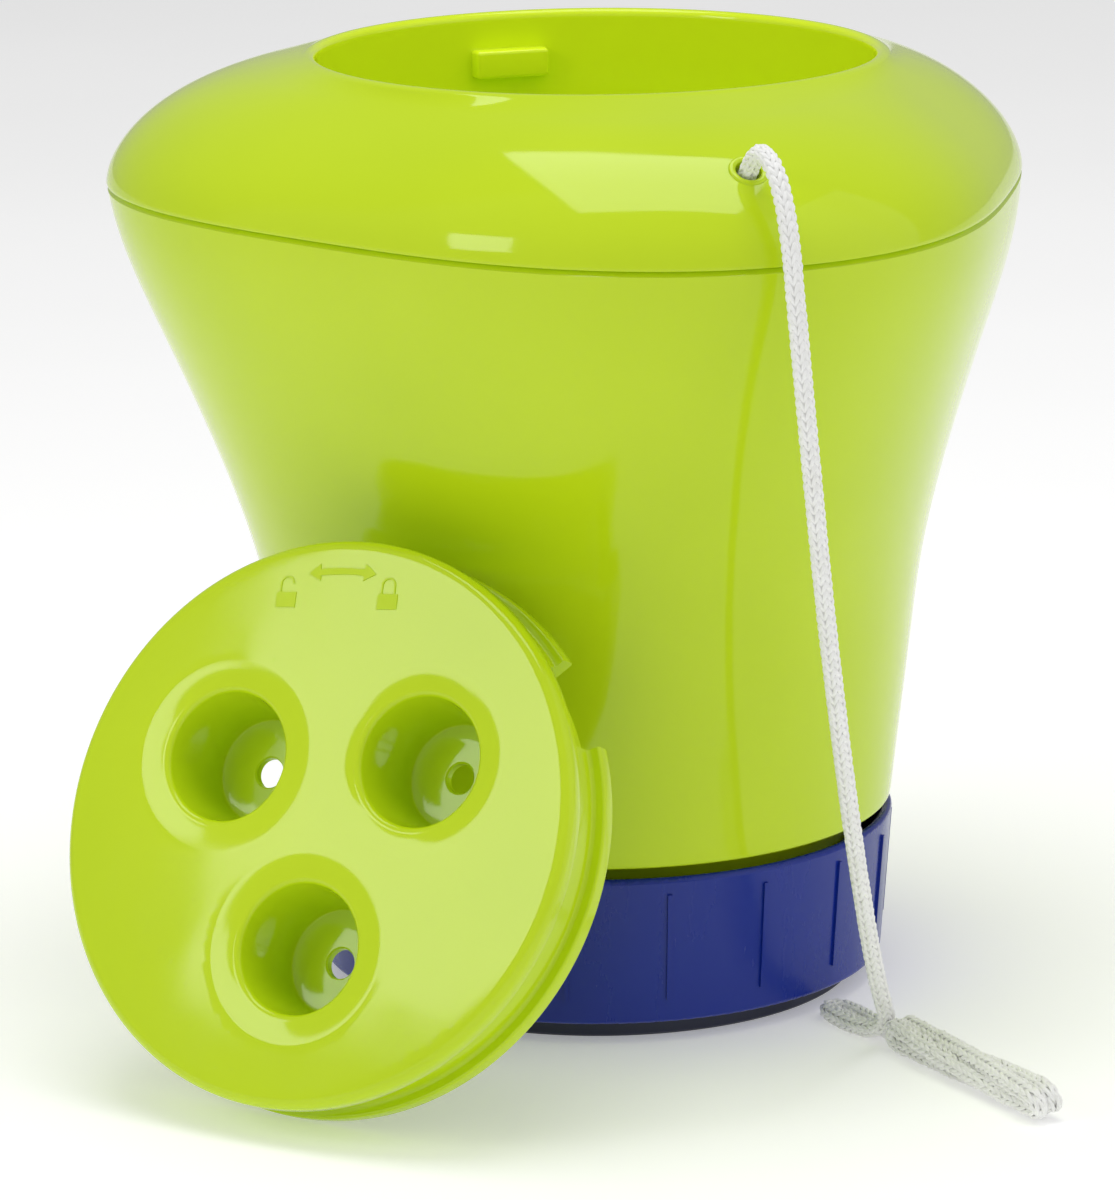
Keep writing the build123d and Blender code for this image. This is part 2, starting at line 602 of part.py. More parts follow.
HANK_START = Vector(60.2, -60.8, 0)
HANK_END = Vector(94.0, -119.6, 0)
HANK_HALF_WIDTH = 4.5
HANK_HEIGHT = 8.4
HANK_ROUND = 2.8
hank_run = HANK_END - HANK_START
HANK_PLANE = Plane(origin=(HANK_START + HANK_END) / 2, x_dir=hank_run, z_dir=(0, 0, 1))

with BuildPart() as cord_hank:
    with BuildSketch(HANK_PLANE):
        SlotOverall(hank_run.length, 2 * HANK_HALF_WIDTH)
    extrude(amount=HANK_HEIGHT)
    hank_rims = cord_hank.edges().group_by(Axis.Z)
    fillet(hank_rims[0] + hank_rims[-1], HANK_ROUND)
cord_hank.part.label = "cord_hank"
export_step(cord_hank.part, "parts/cord_hank.step")

EYE_START = Vector(46.6, -46.4, 0)
EYE_WIDTH = 2.1 * CORD_DIAMETER
EYE_ROUND = 1.4
eye_run = HANK_START + hank_run.normalized() * 2.0 - EYE_START
EYE_PLANE = Plane(origin=EYE_START + eye_run / 2, x_dir=eye_run, z_dir=(0, 0, 1))

with BuildPart() as cord_eye:
    with BuildSketch(EYE_PLANE):
        SlotOverall(eye_run.length, EYE_WIDTH)
    extrude(amount=CORD_DIAMETER)
    eye_rims = cord_eye.edges().group_by(Axis.Z)
    fillet(eye_rims[0] + eye_rims[-1], EYE_ROUND)
cord_eye.part.label = "cord_eye"
export_step(cord_eye.part, "parts/cord_eye.step")
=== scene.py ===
"""Looks of the floating chlorine dispenser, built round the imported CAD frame. Metres, +Z up.

Shapes are worked out in millimetres, as in the CAD source, and scaled as they become meshes.
"""
import math
import random

import bmesh
import bpy
import numpy as np
from mathutils import Matrix, Vector
from mathutils.geometry import delaunay_2d_cdt


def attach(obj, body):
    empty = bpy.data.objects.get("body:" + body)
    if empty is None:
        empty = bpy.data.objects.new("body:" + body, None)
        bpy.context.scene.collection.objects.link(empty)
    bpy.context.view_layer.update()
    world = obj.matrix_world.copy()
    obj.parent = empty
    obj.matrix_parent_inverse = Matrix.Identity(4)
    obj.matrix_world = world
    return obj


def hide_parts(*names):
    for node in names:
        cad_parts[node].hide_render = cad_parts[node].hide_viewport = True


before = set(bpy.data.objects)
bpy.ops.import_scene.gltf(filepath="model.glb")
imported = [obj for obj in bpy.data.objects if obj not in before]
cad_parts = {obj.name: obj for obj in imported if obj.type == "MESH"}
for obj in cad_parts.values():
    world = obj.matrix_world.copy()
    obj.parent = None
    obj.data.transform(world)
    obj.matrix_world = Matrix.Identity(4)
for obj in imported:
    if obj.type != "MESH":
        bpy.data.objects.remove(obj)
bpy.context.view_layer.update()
scene = bpy.context.scene
MM = 0.001
TURN = 2 * math.pi

# ---------------------------------------------------------------- camera
YAW, PITCH, ROLL = -0.00641, 0.24467, 0.00911
CAMERA_PLACE = (0.0, -1.274149, 0.401072)
FOCAL_PIXELS, CENTRE_X, CENTRE_Y = 5886.274, 562.815, 602.764
IMAGE_WIDTH, IMAGE_HEIGHT, SENSOR = 1115, 1200, 36.0

forward = Vector((math.sin(YAW) * math.cos(PITCH), math.cos(YAW) * math.cos(PITCH), -math.sin(PITCH)))
level = Vector((math.cos(YAW), -math.sin(YAW), 0))
down = forward.cross(level)
right = level * math.cos(ROLL) + down * math.sin(ROLL)
down = down * math.cos(ROLL) - level * math.sin(ROLL)
camera = bpy.data.objects.new("camera", bpy.data.cameras.new("camera"))
camera.data.sensor_width = SENSOR
camera.data.lens = FOCAL_PIXELS / IMAGE_HEIGHT * SENSOR
camera.data.shift_x = (IMAGE_WIDTH / 2 - CENTRE_X) / IMAGE_HEIGHT
camera.data.shift_y = (CENTRE_Y - IMAGE_HEIGHT / 2) / IMAGE_HEIGHT
camera.data.clip_end = 20
turned = Matrix((right, -down, -forward)).transposed().to_4x4()
camera.matrix_world = Matrix.Translation(CAMERA_PLACE) @ turned
scene.collection.objects.link(camera)
scene.camera = camera


# ---------------------------------------------------------------- mesh helpers
def new_object(name, verts, faces, finish, crease=35.0):
    """A mesh object from points in millimetres and faces, smooth except at sharp edges."""
    mesh = bpy.data.meshes.new(name)
    mesh.from_pydata([[c * MM for c in v] for v in verts], [], faces)
    work = bmesh.new()
    work.from_mesh(mesh)
    bmesh.ops.remove_doubles(work, verts=work.verts, dist=0.002 * MM)
    bmesh.ops.dissolve_degenerate(work, edges=work.edges, dist=0.001 * MM)
    bmesh.ops.recalc_face_normals(work, faces=work.faces)
    work.to_mesh(mesh)
    work.free()
    mesh.materials.append(finish)
    shade(mesh, crease)
    obj = bpy.data.objects.new(name, mesh)
    scene.collection.objects.link(obj)
    return obj


def shade(mesh, crease):
    """Smooth shading with sharp edges where faces meet at more than the crease angle."""
    mesh.polygons.foreach_set("use_smooth", [True] * len(mesh.polygons))
    mesh.set_sharp_from_angle(angle=math.radians(crease))


def ring_faces(count, around, closed):
    """Quads that join rings of points, one ring after the other."""
    faces = []
    for ring in range(count if closed else count - 1):
        here, after = ring * around, (ring + 1) % count * around
        for step in range(around):
            nxt = (step + 1) % around
            faces.append((here + step, here + nxt, after + nxt, after + step))
    return faces


def capped_faces(count, around):
    """Quads that join rings of points, and a face over the first ring and over the last."""
    last = (count - 1) * around
    return ring_faces(count, around, False) + [tuple(range(around)), tuple(range(last, last + around))]


class Parts:
    """Points and faces of one mesh, gathered piece by piece."""

    def __init__(self):
        self.verts, self.faces = [], []

    def add(self, verts, faces):
        start = len(self.verts)
        self.verts += [tuple(v) for v in verts]
        self.faces += [tuple(start + i for i in f) for f in faces]

    def revolve(self, profile, place, around):
        """Turns a closed outline of (radius, height) points about an axis; place maps (x, y, height) to a point."""
        verts = []
        for radius, height in profile:
            for step in range(around):
                turn = TURN * step / around
                verts.append(place(radius * math.cos(turn), radius * math.sin(turn), height))
        self.add(verts, ring_faces(len(profile), around, True))


def combine(obj, parts, operation, crease=35.0):
    """Joins closed shapes to a mesh object with UNION, or takes them out of it with DIFFERENCE."""
    other = new_object(obj.name + "_other", parts.verts, parts.faces, obj.data.materials[0])
    change = obj.modifiers.new("combine", "BOOLEAN")
    change.object, change.solver, change.operation = other, "EXACT", operation
    result = bpy.data.meshes.new_from_object(obj.evaluated_get(bpy.context.evaluated_depsgraph_get()))
    obj.modifiers.clear()
    old, obj.data = obj.data, result
    result.name = obj.name
    bpy.data.meshes.remove(old)
    bpy.data.objects.remove(other)
    shade(obj.data, crease)


def spline_through(points, count):
    """A natural cubic spline through points, sampled evenly by chord length."""
    p = np.array(points, float)
    t = np.concatenate([[0], np.cumsum(np.linalg.norm(np.diff(p, axis=0), axis=1))])
    n, h = len(p), np.diff(t)
    a, b = np.eye(n), np.zeros((n, p.shape[1]))
    for i in range(1, n - 1):
        a[i, i - 1 : i + 2] = h[i - 1], 2 * (h[i - 1] + h[i]), h[i]
        b[i] = 6 * ((p[i + 1] - p[i]) / h[i] - (p[i] - p[i - 1]) / h[i - 1])
    m = np.linalg.solve(a, b)
    made = []
    for s in np.linspace(0, t[-1], count):
        i = min(int(np.searchsorted(t, s, "right")) - 1, n - 2)
        x, w = s - t[i], h[i]
        c = (p[i + 1] - p[i]) / w - w * (2 * m[i] + m[i + 1]) / 6
        made.append(p[i] + x * (c + x * (m[i] / 2 + x * (m[i + 1] - m[i]) / (6 * w))))
    return made


def arc(cx, cy, rx, ry, start, end, steps):
    """Points on an ellipse's arc, angles in degrees."""
    turns = [math.radians(start + (end - start) * i / steps) for i in range(steps + 1)]
    return [(cx + rx * math.cos(a), cy + ry * math.sin(a)) for a in turns]


def direction(azimuth, slope):
    """A unit vector at an azimuth, raised from level by a slope."""
    flat = math.cos(slope)
    return Vector((math.cos(azimuth) * flat, math.sin(azimuth) * flat, math.sin(slope)))


# ---------------------------------------------------------------- finishes
def node(tree, kind, **values):
    """A shader node, with its inputs and settings given by name."""
    made = tree.nodes.new(kind)
    for key, value in values.items():
        name = key.replace("_", " ")
        if name in made.inputs:
            made.inputs[name].default_value = value
        else:
            setattr(made, key, value)
    return made


def material(name, colour, roughness, **values):
    """A Principled material. Returns the material, its tree and its shader node."""
    made = bpy.data.materials.new(name)
    made.use_nodes = True
    shader = made.node_tree.nodes["Principled BSDF"]
    shader.inputs["Base Color"].default_value = (*colour, 1)
    shader.inputs["Roughness"].default_value = roughness
    for key, value in values.items():
        shader.inputs[key.replace("_", " ")].default_value = value
    return made, made.node_tree, shader


def noise(tree, where, scale, detail=3.0, stretch=(1, 1, 1), rough=0.55):
    """Noise over object space, in metres, with features about 1/scale across."""
    space = node(tree, "ShaderNodeMapping", Scale=stretch)
    tree.links.new(where.outputs["Object"], space.inputs["Vector"])
    made = node(tree, "ShaderNodeTexNoise", Scale=scale, Detail=detail, Roughness=rough)
    tree.links.new(space.outputs["Vector"], made.inputs["Vector"])
    return made.outputs["Fac"]


def ramp(tree, source, stops):
    """A colour ramp over a value, between two stops of (position, colour)."""
    made = node(tree, "ShaderNodeValToRGB")
    for element, (position, colour) in zip(made.color_ramp.elements, (stops[0], stops[-1])):
        element.position, element.color = position, (*colour, 1)
    tree.links.new(source, made.inputs["Fac"])
    return made.outputs["Color"]


def spread(tree, source, low, high, to_low, to_high):
    """A value mapped from one range to another."""
    made = tree.nodes.new("ShaderNodeMapRange")
    for index, value in enumerate((low, high, to_low, to_high)):
        made.inputs[1 + index].default_value = value
    tree.links.new(source, made.inputs[0])
    return made.outputs[0]


def bump(tree, shader, layers):
    """Stacks bumps of (height, strength, distance in metres) onto a shader's normal."""
    normal = None
    for height, strength, distance in layers:
        made = node(tree, "ShaderNodeBump", Strength=strength, Distance=distance)
        tree.links.new(height, made.inputs["Height"])
        if normal:
            tree.links.new(normal, made.inputs["Normal"])
        normal = made.outputs["Normal"]
    tree.links.new(normal, shader.inputs["Normal"])


# noise scales of the plastic, in features to the metre
DRIFT_SCALE, MARK_SCALE, WAVE_SCALE, GRAIN_SCALE, SCRATCH_SCALE = 11.0, 60.0, 38.0, 2600.0, 900.0
PLASTIC_IOR, PLASTIC_SPECULAR = 1.49, 0.40


def plastic(name, low, high, roughness, wave=0.25, scratch=0.1):
    """Injection-moulded plastic: faint colour drift, moulding waves, hairline scratches and handling marks."""
    made, tree, shader = material(name, high, roughness, IOR=PLASTIC_IOR, Specular_IOR_Level=PLASTIC_SPECULAR)
    where = node(tree, "ShaderNodeTexCoord")
    drift = noise(tree, where, DRIFT_SCALE, 2.0)
    tree.links.new(ramp(tree, drift, [(0.3, low), (0.7, high)]), shader.inputs["Base Color"])
    marks = noise(tree, where, MARK_SCALE, 6.0, (1, 1, 0.35), 0.65)
    tree.links.new(spread(tree, marks, 0.35, 0.75, roughness * 0.8, roughness * 1.5), shader.inputs["Roughness"])
    waves = noise(tree, where, WAVE_SCALE, 1.0)
    grain = noise(tree, where, GRAIN_SCALE, 2.0)
    hair = noise(tree, where, SCRATCH_SCALE, 1.0, (0.03, 1.0, 0.6))
    lines = spread(tree, hair, 0.70, 0.76, 0.0, 1.0)
    bump(tree, shader, [(waves, wave, 0.0006), (grain, 0.05, 0.00004), (lines, scratch, 0.00003)])
    return made


GREEN_LOW, GREEN_HIGH = (0.51, 0.69, 0.007), (0.57, 0.75, 0.011)
green = plastic("green_shell", GREEN_LOW, GREEN_HIGH, 0.07)
green_emboss = plastic("green_emboss", GREEN_LOW, GREEN_HIGH, 0.38, wave=0.1)
# the chamber's paler green is painted light, standing in for light that comes through the thin shell
green_inner = plastic("green_inner", (0.62, 0.84, 0.008), (0.68, 0.90, 0.012), 0.22, wave=0.4)
blue = plastic("blue_ring", (0.0018, 0.015, 0.22), (0.003, 0.022, 0.28), 0.24, wave=0.3, scratch=0.2)
dark = plastic("dark_foot", (0.016, 0.020, 0.04), (0.025, 0.029, 0.055), 0.42, wave=0.2)

# the painted light, a paler colour, holds inside THROAT_EDGE and above THROAT_BASE, and fades out to the second value
# of each
THROAT_EDGE, THROAT_FADE, THROAT_BASE, THROAT_BASE_FADE = 0.0611, 0.0626, 0.170, 0.002
# painted light: the paler green that stands in for light through the thin shell of the throat
THROAT_PAINTED_LIGHT = (0.78, 0.95, 0.014)
MIX_COLOUR_A, MIX_COLOUR_B, MIX_COLOUR_OUT = 6, 7, 2


def paint_throat_light(made, colour):
    """Painted light: a paler colour by place on the throat's wall, standing in for the light that reaches through the
    thin shell.
    """
    tree = made.node_tree
    shader = next(n for n in tree.nodes if n.type == "BSDF_PRINCIPLED")
    outside = shader.inputs["Base Color"].links[0].from_socket
    where = node(tree, "ShaderNodeTexCoord")
    place = node(tree, "ShaderNodeSeparateXYZ")
    tree.links.new(where.outputs["Object"], place.inputs["Vector"])
    flat = node(tree, "ShaderNodeCombineXYZ")
    for axis in "XY":
        tree.links.new(place.outputs[axis], flat.inputs[axis])
    reach = node(tree, "ShaderNodeVectorMath", operation="LENGTH")
    tree.links.new(flat.outputs["Vector"], reach.inputs[0])
    painted_light_mask = node(tree, "ShaderNodeMath", operation="MULTIPLY")
    tree.links.new(spread(tree, reach.outputs["Value"], THROAT_EDGE, THROAT_FADE, 1, 0), painted_light_mask.inputs[0])
    above = spread(tree, place.outputs["Z"], THROAT_BASE, THROAT_BASE + THROAT_BASE_FADE, 0, 1)
    tree.links.new(above, painted_light_mask.inputs[1])
    mixed = node(tree, "ShaderNodeMix", data_type="RGBA")
    tree.links.new(painted_light_mask.outputs[0], mixed.inputs["Factor"])
    tree.links.new(outside, mixed.inputs[MIX_COLOUR_A])
    mixed.inputs[MIX_COLOUR_B].default_value = (*colour, 1)
    tree.links.new(mixed.outputs[MIX_COLOUR_OUT], shader.inputs["Base Color"])


# paints light onto the throat's wall and floor in the shell's green
paint_throat_light(green, THROAT_PAINTED_LIGHT)


def screw_steel():
    """Steel with fine brush lines."""
    made, tree, shader = material("screw_steel", (0.62, 0.61, 0.59), 0.28, Metallic=1.0)
    where = node(tree, "ShaderNodeTexCoord")
    brushed = noise(tree, where, 1800.0, 4.0, (1, 0.08, 1))
    tree.links.new(spread(tree, brushed, 0.3, 0.7, 0.2, 0.42), shader.inputs["Roughness"])
    bump(tree, shader, [(brushed, 0.2, 0.00003)])
    return made


def seal_rubber():
    """Matt black rubber with a fine grain."""
    made, tree, shader = material("seal_rubber", (0.018, 0.018, 0.02), 0.62)
    where = node(tree, "ShaderNodeTexCoord")
    grain = noise(tree, where, 1500.0, 5.0)
    tone = ramp(tree, grain, [(0.3, (0.012, 0.012, 0.013)), (0.8, (0.03, 0.03, 0.032))])
    tree.links.new(tone, shader.inputs["Base Color"])
    bump(tree, shader, [(grain, 0.3, 0.00005)])
    return made


def cord_white():
    """White fibre with a faint drift of shade and fine fibres along the yarn."""
    made, tree, shader = material("cord_white", (0.92, 0.92, 0.90), 0.72, Sheen_Weight=0.35)
    where = node(tree, "ShaderNodeTexCoord")
    dye = noise(tree, where, 300.0, 4.0)
    tone = ramp(tree, dye, [(0.3, (0.90, 0.90, 0.875)), (0.7, (0.96, 0.96, 0.95))])
    tree.links.new(tone, shader.inputs["Base Color"])
    fibres = noise(tree, where, 5200.0, 3.0, (1, 1, 0.25))
    bump(tree, shader, [(fibres, 0.55, 0.00012)])
    return made


steel, rubber, white = screw_steel(), seal_rubber(), cord_white()
NODE_FINISH = {
    "float_dome": green, "hull_shell": green, "lid": green, "tablet_chamber": green_inner,
    "regulator_ring": blue, "foot_plate": dark, "foot_screws": steel,
    "upper_seal": rubber, "lower_seal": rubber, "stopper_knot": white,
    "tether_cord": white, "cord_eye": white, "cord_hank": white,
}
for name, finish in NODE_FINISH.items():
    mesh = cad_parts[name].data
    mesh.materials.clear()
    mesh.materials.append(finish)

# ---------------------------------------------------------------- tether
CORD_DIAMETER = 3.7
CORD_REST = CORD_DIAMETER / 2 + 0.05
EXIT_POINT = Vector((31.0, -90.0, 195.7))
EXIT_NORMAL = direction(math.radians(-71.0), math.radians(54.0))
ROUTE_START_DEPTH = 3.4
CORD_ROUTE = [
    tuple(EXIT_POINT - EXIT_NORMAL * ROUTE_START_DEPTH),
    (32.0, -93.1, 200.0),
    (34.6, -97.9, 200.6),
    (37.2, -103.3, 195.2),
    (39.0, -107.4, 184.5),
    (40.4, -108.6, 168.0),
    (42.9, -107.4, 141.0),
    (46.3, -101.2, 106.0),
    (51.2, -90.0, 65.5),
    (55.0, -79.8, 39.0),
    (57.8, -72.6, 22.0),
    (60.0, -67.4, 11.5),
    (61.5, -64.6, 6.0),
]
HANK_START = Vector((60.2, -60.8, 0))
HANK_END = Vector((94.0, -119.6, 0))
hank_axis = (HANK_END - HANK_START).normalized()
hank_side = Vector((-hank_axis.y, hank_axis.x, 0))
# the eye's route, as (along the hank, across it, above the floor)
EYE_ROUTE = [
    (0.5, -1.3, 3.0),
    (-5, -2.0, CORD_REST),
    (-12, -2.35, CORD_REST),
    (-18, -2.1, CORD_REST),
    (-19.5, -0.75, CORD_REST),
    (-19.5, 0.75, CORD_REST),
    (-18, 2.1, CORD_REST),
    (-11, 2.35, CORD_REST),
    (-4, 2.0, CORD_REST),
    (3, 1.9, CORD_REST + 0.3),
]
# the bundle's runs: angles in degrees, lengths in millimetres, twisted over BUNDLE_LENGTH from BUNDLE_START
BUNDLE_RADIUS, BUNDLE_HEIGHT, BUNDLE_TWIST = 2.35, 4.3, math.radians(110)
BUNDLE_START, BUNDLE_LENGTH, RUNS, FIRST_RUN, RUN_SPACING = 7, 57, 4, -45, 90
BUNDLE_STATIONS = [7, 12, 19, 27, 35, 43, 51, 57, 62.5]
WANDER, WANDER_PITCH, WANDER_PHASE, FOLD_STAGGER = 0.22, 0.9, 2, 0.8


def in_hank(along, side, height):
    """A point by its distance along the hank, across it and above the floor."""
    return tuple(HANK_START + hank_axis * along + hank_side * side + Vector((0, 0, height)))


def hank_route():
    """The cord's route on the floor: round the eye and back, then the runs twisted together in the bundle."""
    points = [in_hank(*place) for place in EYE_ROUTE]
    for run in range(RUNS):
        for at in BUNDLE_STATIONS[:: 1 if run % 2 == 0 else -1]:
            turn = math.radians(FIRST_RUN - RUN_SPACING * run) + BUNDLE_TWIST * (at - BUNDLE_START) / BUNDLE_LENGTH
            wander = BUNDLE_RADIUS + WANDER * math.sin(at * WANDER_PITCH + WANDER_PHASE * run)
            along = at + FOLD_STAGGER * math.sin(run)
            points.append(in_hank(along, wander * math.cos(turn), BUNDLE_HEIGHT + wander * math.sin(turn)))
    return points


curve = bpy.data.curves.new("tether_line", "CURVE")
curve.dimensions = "3D"
spline = curve.splines.new("NURBS")
route = CORD_ROUTE + hank_route()
spline.points.add(len(route) - 1)
for point, place in zip(spline.points, route):
    point.co = (*[c * MM for c in place], 1)
spline.order_u = 3
spline.use_endpoint_u = True
spline.resolution_u = 16
carrier = bpy.data.objects.new("tether_line", curve)
line_mesh = bpy.data.meshes.new_from_object(carrier)
cord_line = np.array([v.co for v in line_mesh.vertices], float)
bpy.data.meshes.remove(line_mesh)
bpy.data.objects.remove(carrier)
bpy.data.curves.remove(curve)
along_line = np.concatenate([[0], np.cumsum(np.linalg.norm(np.diff(cord_line, axis=0), axis=1))]) / MM
cord_length = along_line[-1]
FREE_LENGTH = 220.0

# frames carried along the line without twist
STATION_STEP = 0.4
stations = np.linspace(0, cord_length, int(cord_length / STATION_STEP) + 1)
centres = np.stack([np.interp(stations, along_line, cord_line[:, k]) for k in range(3)], axis=1) / MM
tangents = np.gradient(centres, axis=0)
tangents /= np.linalg.norm(tangents, axis=1)[:, None]
sides = np.zeros_like(tangents)
side = np.cross(tangents[0], (0, 0, 1))
for i, tangent in enumerate(tangents):
    side = side - tangent * side.dot(tangent)
    side /= np.linalg.norm(side)
    sides[i] = side
tops = np.cross(tangents, sides)


def on_cord(s, turn, radius):
    """A point at a length along the cord, an angle round it and a distance from its middle."""
    at = min(max(s / cord_length * (len(stations) - 1), 0), len(stations) - 1.001)
    i, f = int(at), at - int(at)
    centre = centres[i] * (1 - f) + centres[i + 1] * f
    return centre + radius * (math.cos(turn) * sides[i] + math.sin(turn) * tops[i])


random.seed(7)
knit = Parts()
# a plain core, so that nothing shows through between the yarns
CORE_RADIUS, CORE_AROUND, CORE_EVERY = 1.34, 12, 3
core = []
for s in stations[::CORE_EVERY]:
    core += [on_cord(s, TURN * j / CORE_AROUND, CORE_RADIUS) for j in range(CORE_AROUND)]
knit.add(core, capped_faces(len(core) // CORE_AROUND, CORE_AROUND))


def yarn(points, widths, around=6):
    """A closed yarn through points, with a radius at each."""
    p = [Vector(q) for q in points]
    verts, hold = [], None
    for i, here in enumerate(p):
        way = (p[min(i + 1, len(p) - 1)] - p[max(i - 1, 0)]).normalized()
        hold = way.orthogonal().normalized() if hold is None else (hold - way * hold.dot(way)).normalized()
        other = way.cross(hold)
        for j in range(around):
            a = TURN * j / around
            verts.append(here + widths[i] * (math.cos(a) * hold + math.sin(a) * other))
    knit.add(verts, capped_faces(len(p), around))


# wales run along the cord and courses across it; each stitch is a V of two yarns, slacker past LOOSE_FROM
WALES, COURSE, YARN, YARN_STEPS, YARN_SPAN = 5, 2.0, 0.48, 5, 1.42
WALE_START, WALE_DRIFT, V_POWER, V_WIDTH = 0.3, 0.0016, 0.85, 1.02
YARN_LOW, YARN_RISE, LIFT_SHARE = 1.25, 0.35, 0.8
KNIT_START, LOOSE_FROM = 1.0, FREE_LENGTH + 6
TURN_JITTER, LIFT_JITTER, LOOSE_JITTER, LOOSE_LIFT, COURSE_JITTER = 0.08, 0.06, 2.5, 0.16, 0.03
s = KNIT_START
while s < cord_length - COURSE:
    loose = 1.0 if s > LOOSE_FROM else 0.0
    for wale in range(WALES):
        middle = TURN * wale / WALES + WALE_START + WALE_DRIFT * s
        for way in (-1, 1):
            jitter = random.uniform(-TURN_JITTER, TURN_JITTER) * (1 + loose)
            lift = random.uniform(-LIFT_JITTER, LIFT_JITTER) * (1 + LOOSE_JITTER * loose) + LOOSE_LIFT * loose
            points, widths = [], []
            for k in range(YARN_STEPS + 1):
                t = k / YARN_STEPS
                turn = middle + way * (1 - t) ** V_POWER * math.pi / WALES * V_WIDTH + jitter * (1 - t)
                rise = math.sin(math.pi * min(t * 1.08 + 0.06, 1))
                reach = YARN_LOW + (YARN_RISE + LIFT_SHARE * lift) * rise
                points.append(on_cord(s + t * COURSE * YARN_SPAN, turn, reach))
                widths.append(YARN * (0.62 + 0.38 * math.sin(math.pi * (0.15 + 0.75 * t))))
            yarn(points, widths)
    s += COURSE * (1 + random.uniform(-COURSE_JITTER, COURSE_JITTER))

# stray loops of fibre on the bundle
STRAYS, STRAYS_FROM, STRAYS_UNTIL, STRAY_SIZES = 420, FREE_LENGTH + 55, cord_length - 4, (0.30, 0.65)
STRAY_REACH, STRAY_STRETCH, STRAY_LEAN, STRAY_YARN, STRAY_LOWEST = 1.62, 1.6, 0.16, 0.12, 0.3
for _ in range(STRAYS):
    s = random.uniform(STRAYS_FROM, STRAYS_UNTIL)
    turn, size = random.uniform(0, TURN), random.uniform(*STRAY_SIZES)
    points = []
    for a in (0, 0.8, 1.57, 2.3, 3.14):
        along, lean = s + size * STRAY_STRETCH * math.cos(a), turn + STRAY_LEAN * math.cos(a)
        points.append(on_cord(along, lean, STRAY_REACH + size * math.sin(a)))
    if min(p[2] for p in points) > STRAY_LOWEST:
        yarn(points, [STRAY_YARN] * len(points), 5)

# no fibre goes under the floor
resting = [(x, y, max(z, 0.0)) for x, y, z in knit.verts]
tether = new_object("tether_knit", resting, knit.faces, white, 60)
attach(tether, "float_body")
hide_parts("tether_cord", "cord_eye", "cord_hank")

# ---------------------------------------------------------------- float: dome
WALL, SEAM_RADIUS, SEAM_HEIGHT, LOBE_HEIGHT = 2.4, 100.0, 178.0, 8.8
LOBE_AZIMUTH = math.radians(49.0)
LIP_RADIUS, THROAT_RADIUS, THROAT_WALL, THROAT_FLOOR = 64.0, 61.0, 2.2, 171.5
FLOAT_AROUND = 360
DOME_INNER, DOME_REACH, DOME_REACH_POWER, DOME_RISE, DOME_RISE_POWER = 52.6, 47.4, 1.3, 30, 1.13


def dome_lobe(radius):
    """Height of the lobes on the dome: full at the seam and none at the lip."""
    inward = max(0.0, min(1.0, (SEAM_RADIUS - radius) / (SEAM_RADIUS - LIP_RADIUS)))
    return LOBE_HEIGHT * (1 - inward**3)


def dome_point(angle):
    """Mean radius and height of the dome at an angle up from its seam."""
    turn = math.radians(angle)
    radius = DOME_INNER + DOME_REACH * math.cos(turn) ** DOME_REACH_POWER
    return radius, SEAM_HEIGHT + DOME_RISE * max(math.sin(turn), 0.0) ** DOME_RISE_POWER


def lobed_rings(profile):
    """Rings of points from (mean radius, height, lobe height)."""
    verts = []
    for mean, height, lobe in profile:
        for step in range(FLOAT_AROUND):
            turn = TURN * step / FLOAT_AROUND
            radius = mean + lobe * math.cos(3 * (turn - LOBE_AZIMUTH))
            verts.append((radius * math.cos(turn), radius * math.sin(turn), height))
    return verts


CROWN_ANGLE = 62
outer = [dome_point(a) for a in np.linspace(4, CROWN_ANGLE, 24)]
seam_edge = [(0.45, 0), (0.1, 0.08), (0, 0.45)]
skirt = [(SEAM_RADIUS - inward, SEAM_HEIGHT + up) for inward, up in seam_edge]
LIP_ROUND, LIP_CENTRE_HEIGHT, LIP_END = 1.6, 205.66, 204.6
mouth = arc(THROAT_RADIUS + LIP_ROUND, LIP_CENTRE_HEIGHT, LIP_ROUND, LIP_ROUND, 60, 180, 6)
mouth += [(THROAT_RADIUS, LIP_END)]
dome_profile = skirt + [tuple(p) for p in spline_through([skirt[-1]] + outer + mouth, 110)[1:]]
dome_profile += [(THROAT_RADIUS, h) for h in (200.0, 190.0, 180.0, 176.0)]
THROAT_ROUND, SHELF_TOP = 1.5, THROAT_FLOOR + THROAT_WALL
dome_profile += arc(THROAT_RADIUS - THROAT_ROUND, SHELF_TOP + THROAT_ROUND, THROAT_ROUND, THROAT_ROUND, 0, -90, 5)
dome_profile += [(50.0, SHELF_TOP), (49.6, SHELF_TOP - 0.4), (49.5, THROAT_FLOOR)]
dome_profile += [(THROAT_RADIUS + THROAT_WALL, THROAT_FLOOR), (THROAT_RADIUS + THROAT_WALL, 200.0)]
# back under the crown to the seam, a wall's thickness inside
for angle in np.linspace(CROWN_ANGLE, 0, 16):
    radius, height = dome_point(angle)
    lean = math.radians(min(1.3 * angle, 90.0))
    dome_profile.append((radius - WALL * math.cos(lean), height - WALL * math.sin(lean)))
LOBED_FROM = THROAT_RADIUS + 2.3
dome_rings = [(r, h, dome_lobe(r) if r > LOBED_FROM else 0.0) for r, h in dome_profile]
float_dome = new_object("dome_shell", lobed_rings(dome_rings), ring_faces(len(dome_rings), FLOAT_AROUND, True), green)

exit_side = EXIT_NORMAL.cross(Vector((0, 0, 1))).normalized()
exit_up = exit_side.cross(EXIT_NORMAL)


def at_exit(x, y, height):
    """A point round the axis of the tether's hole."""
    return EXIT_POINT + exit_side * x + exit_up * y + EXIT_NORMAL * height


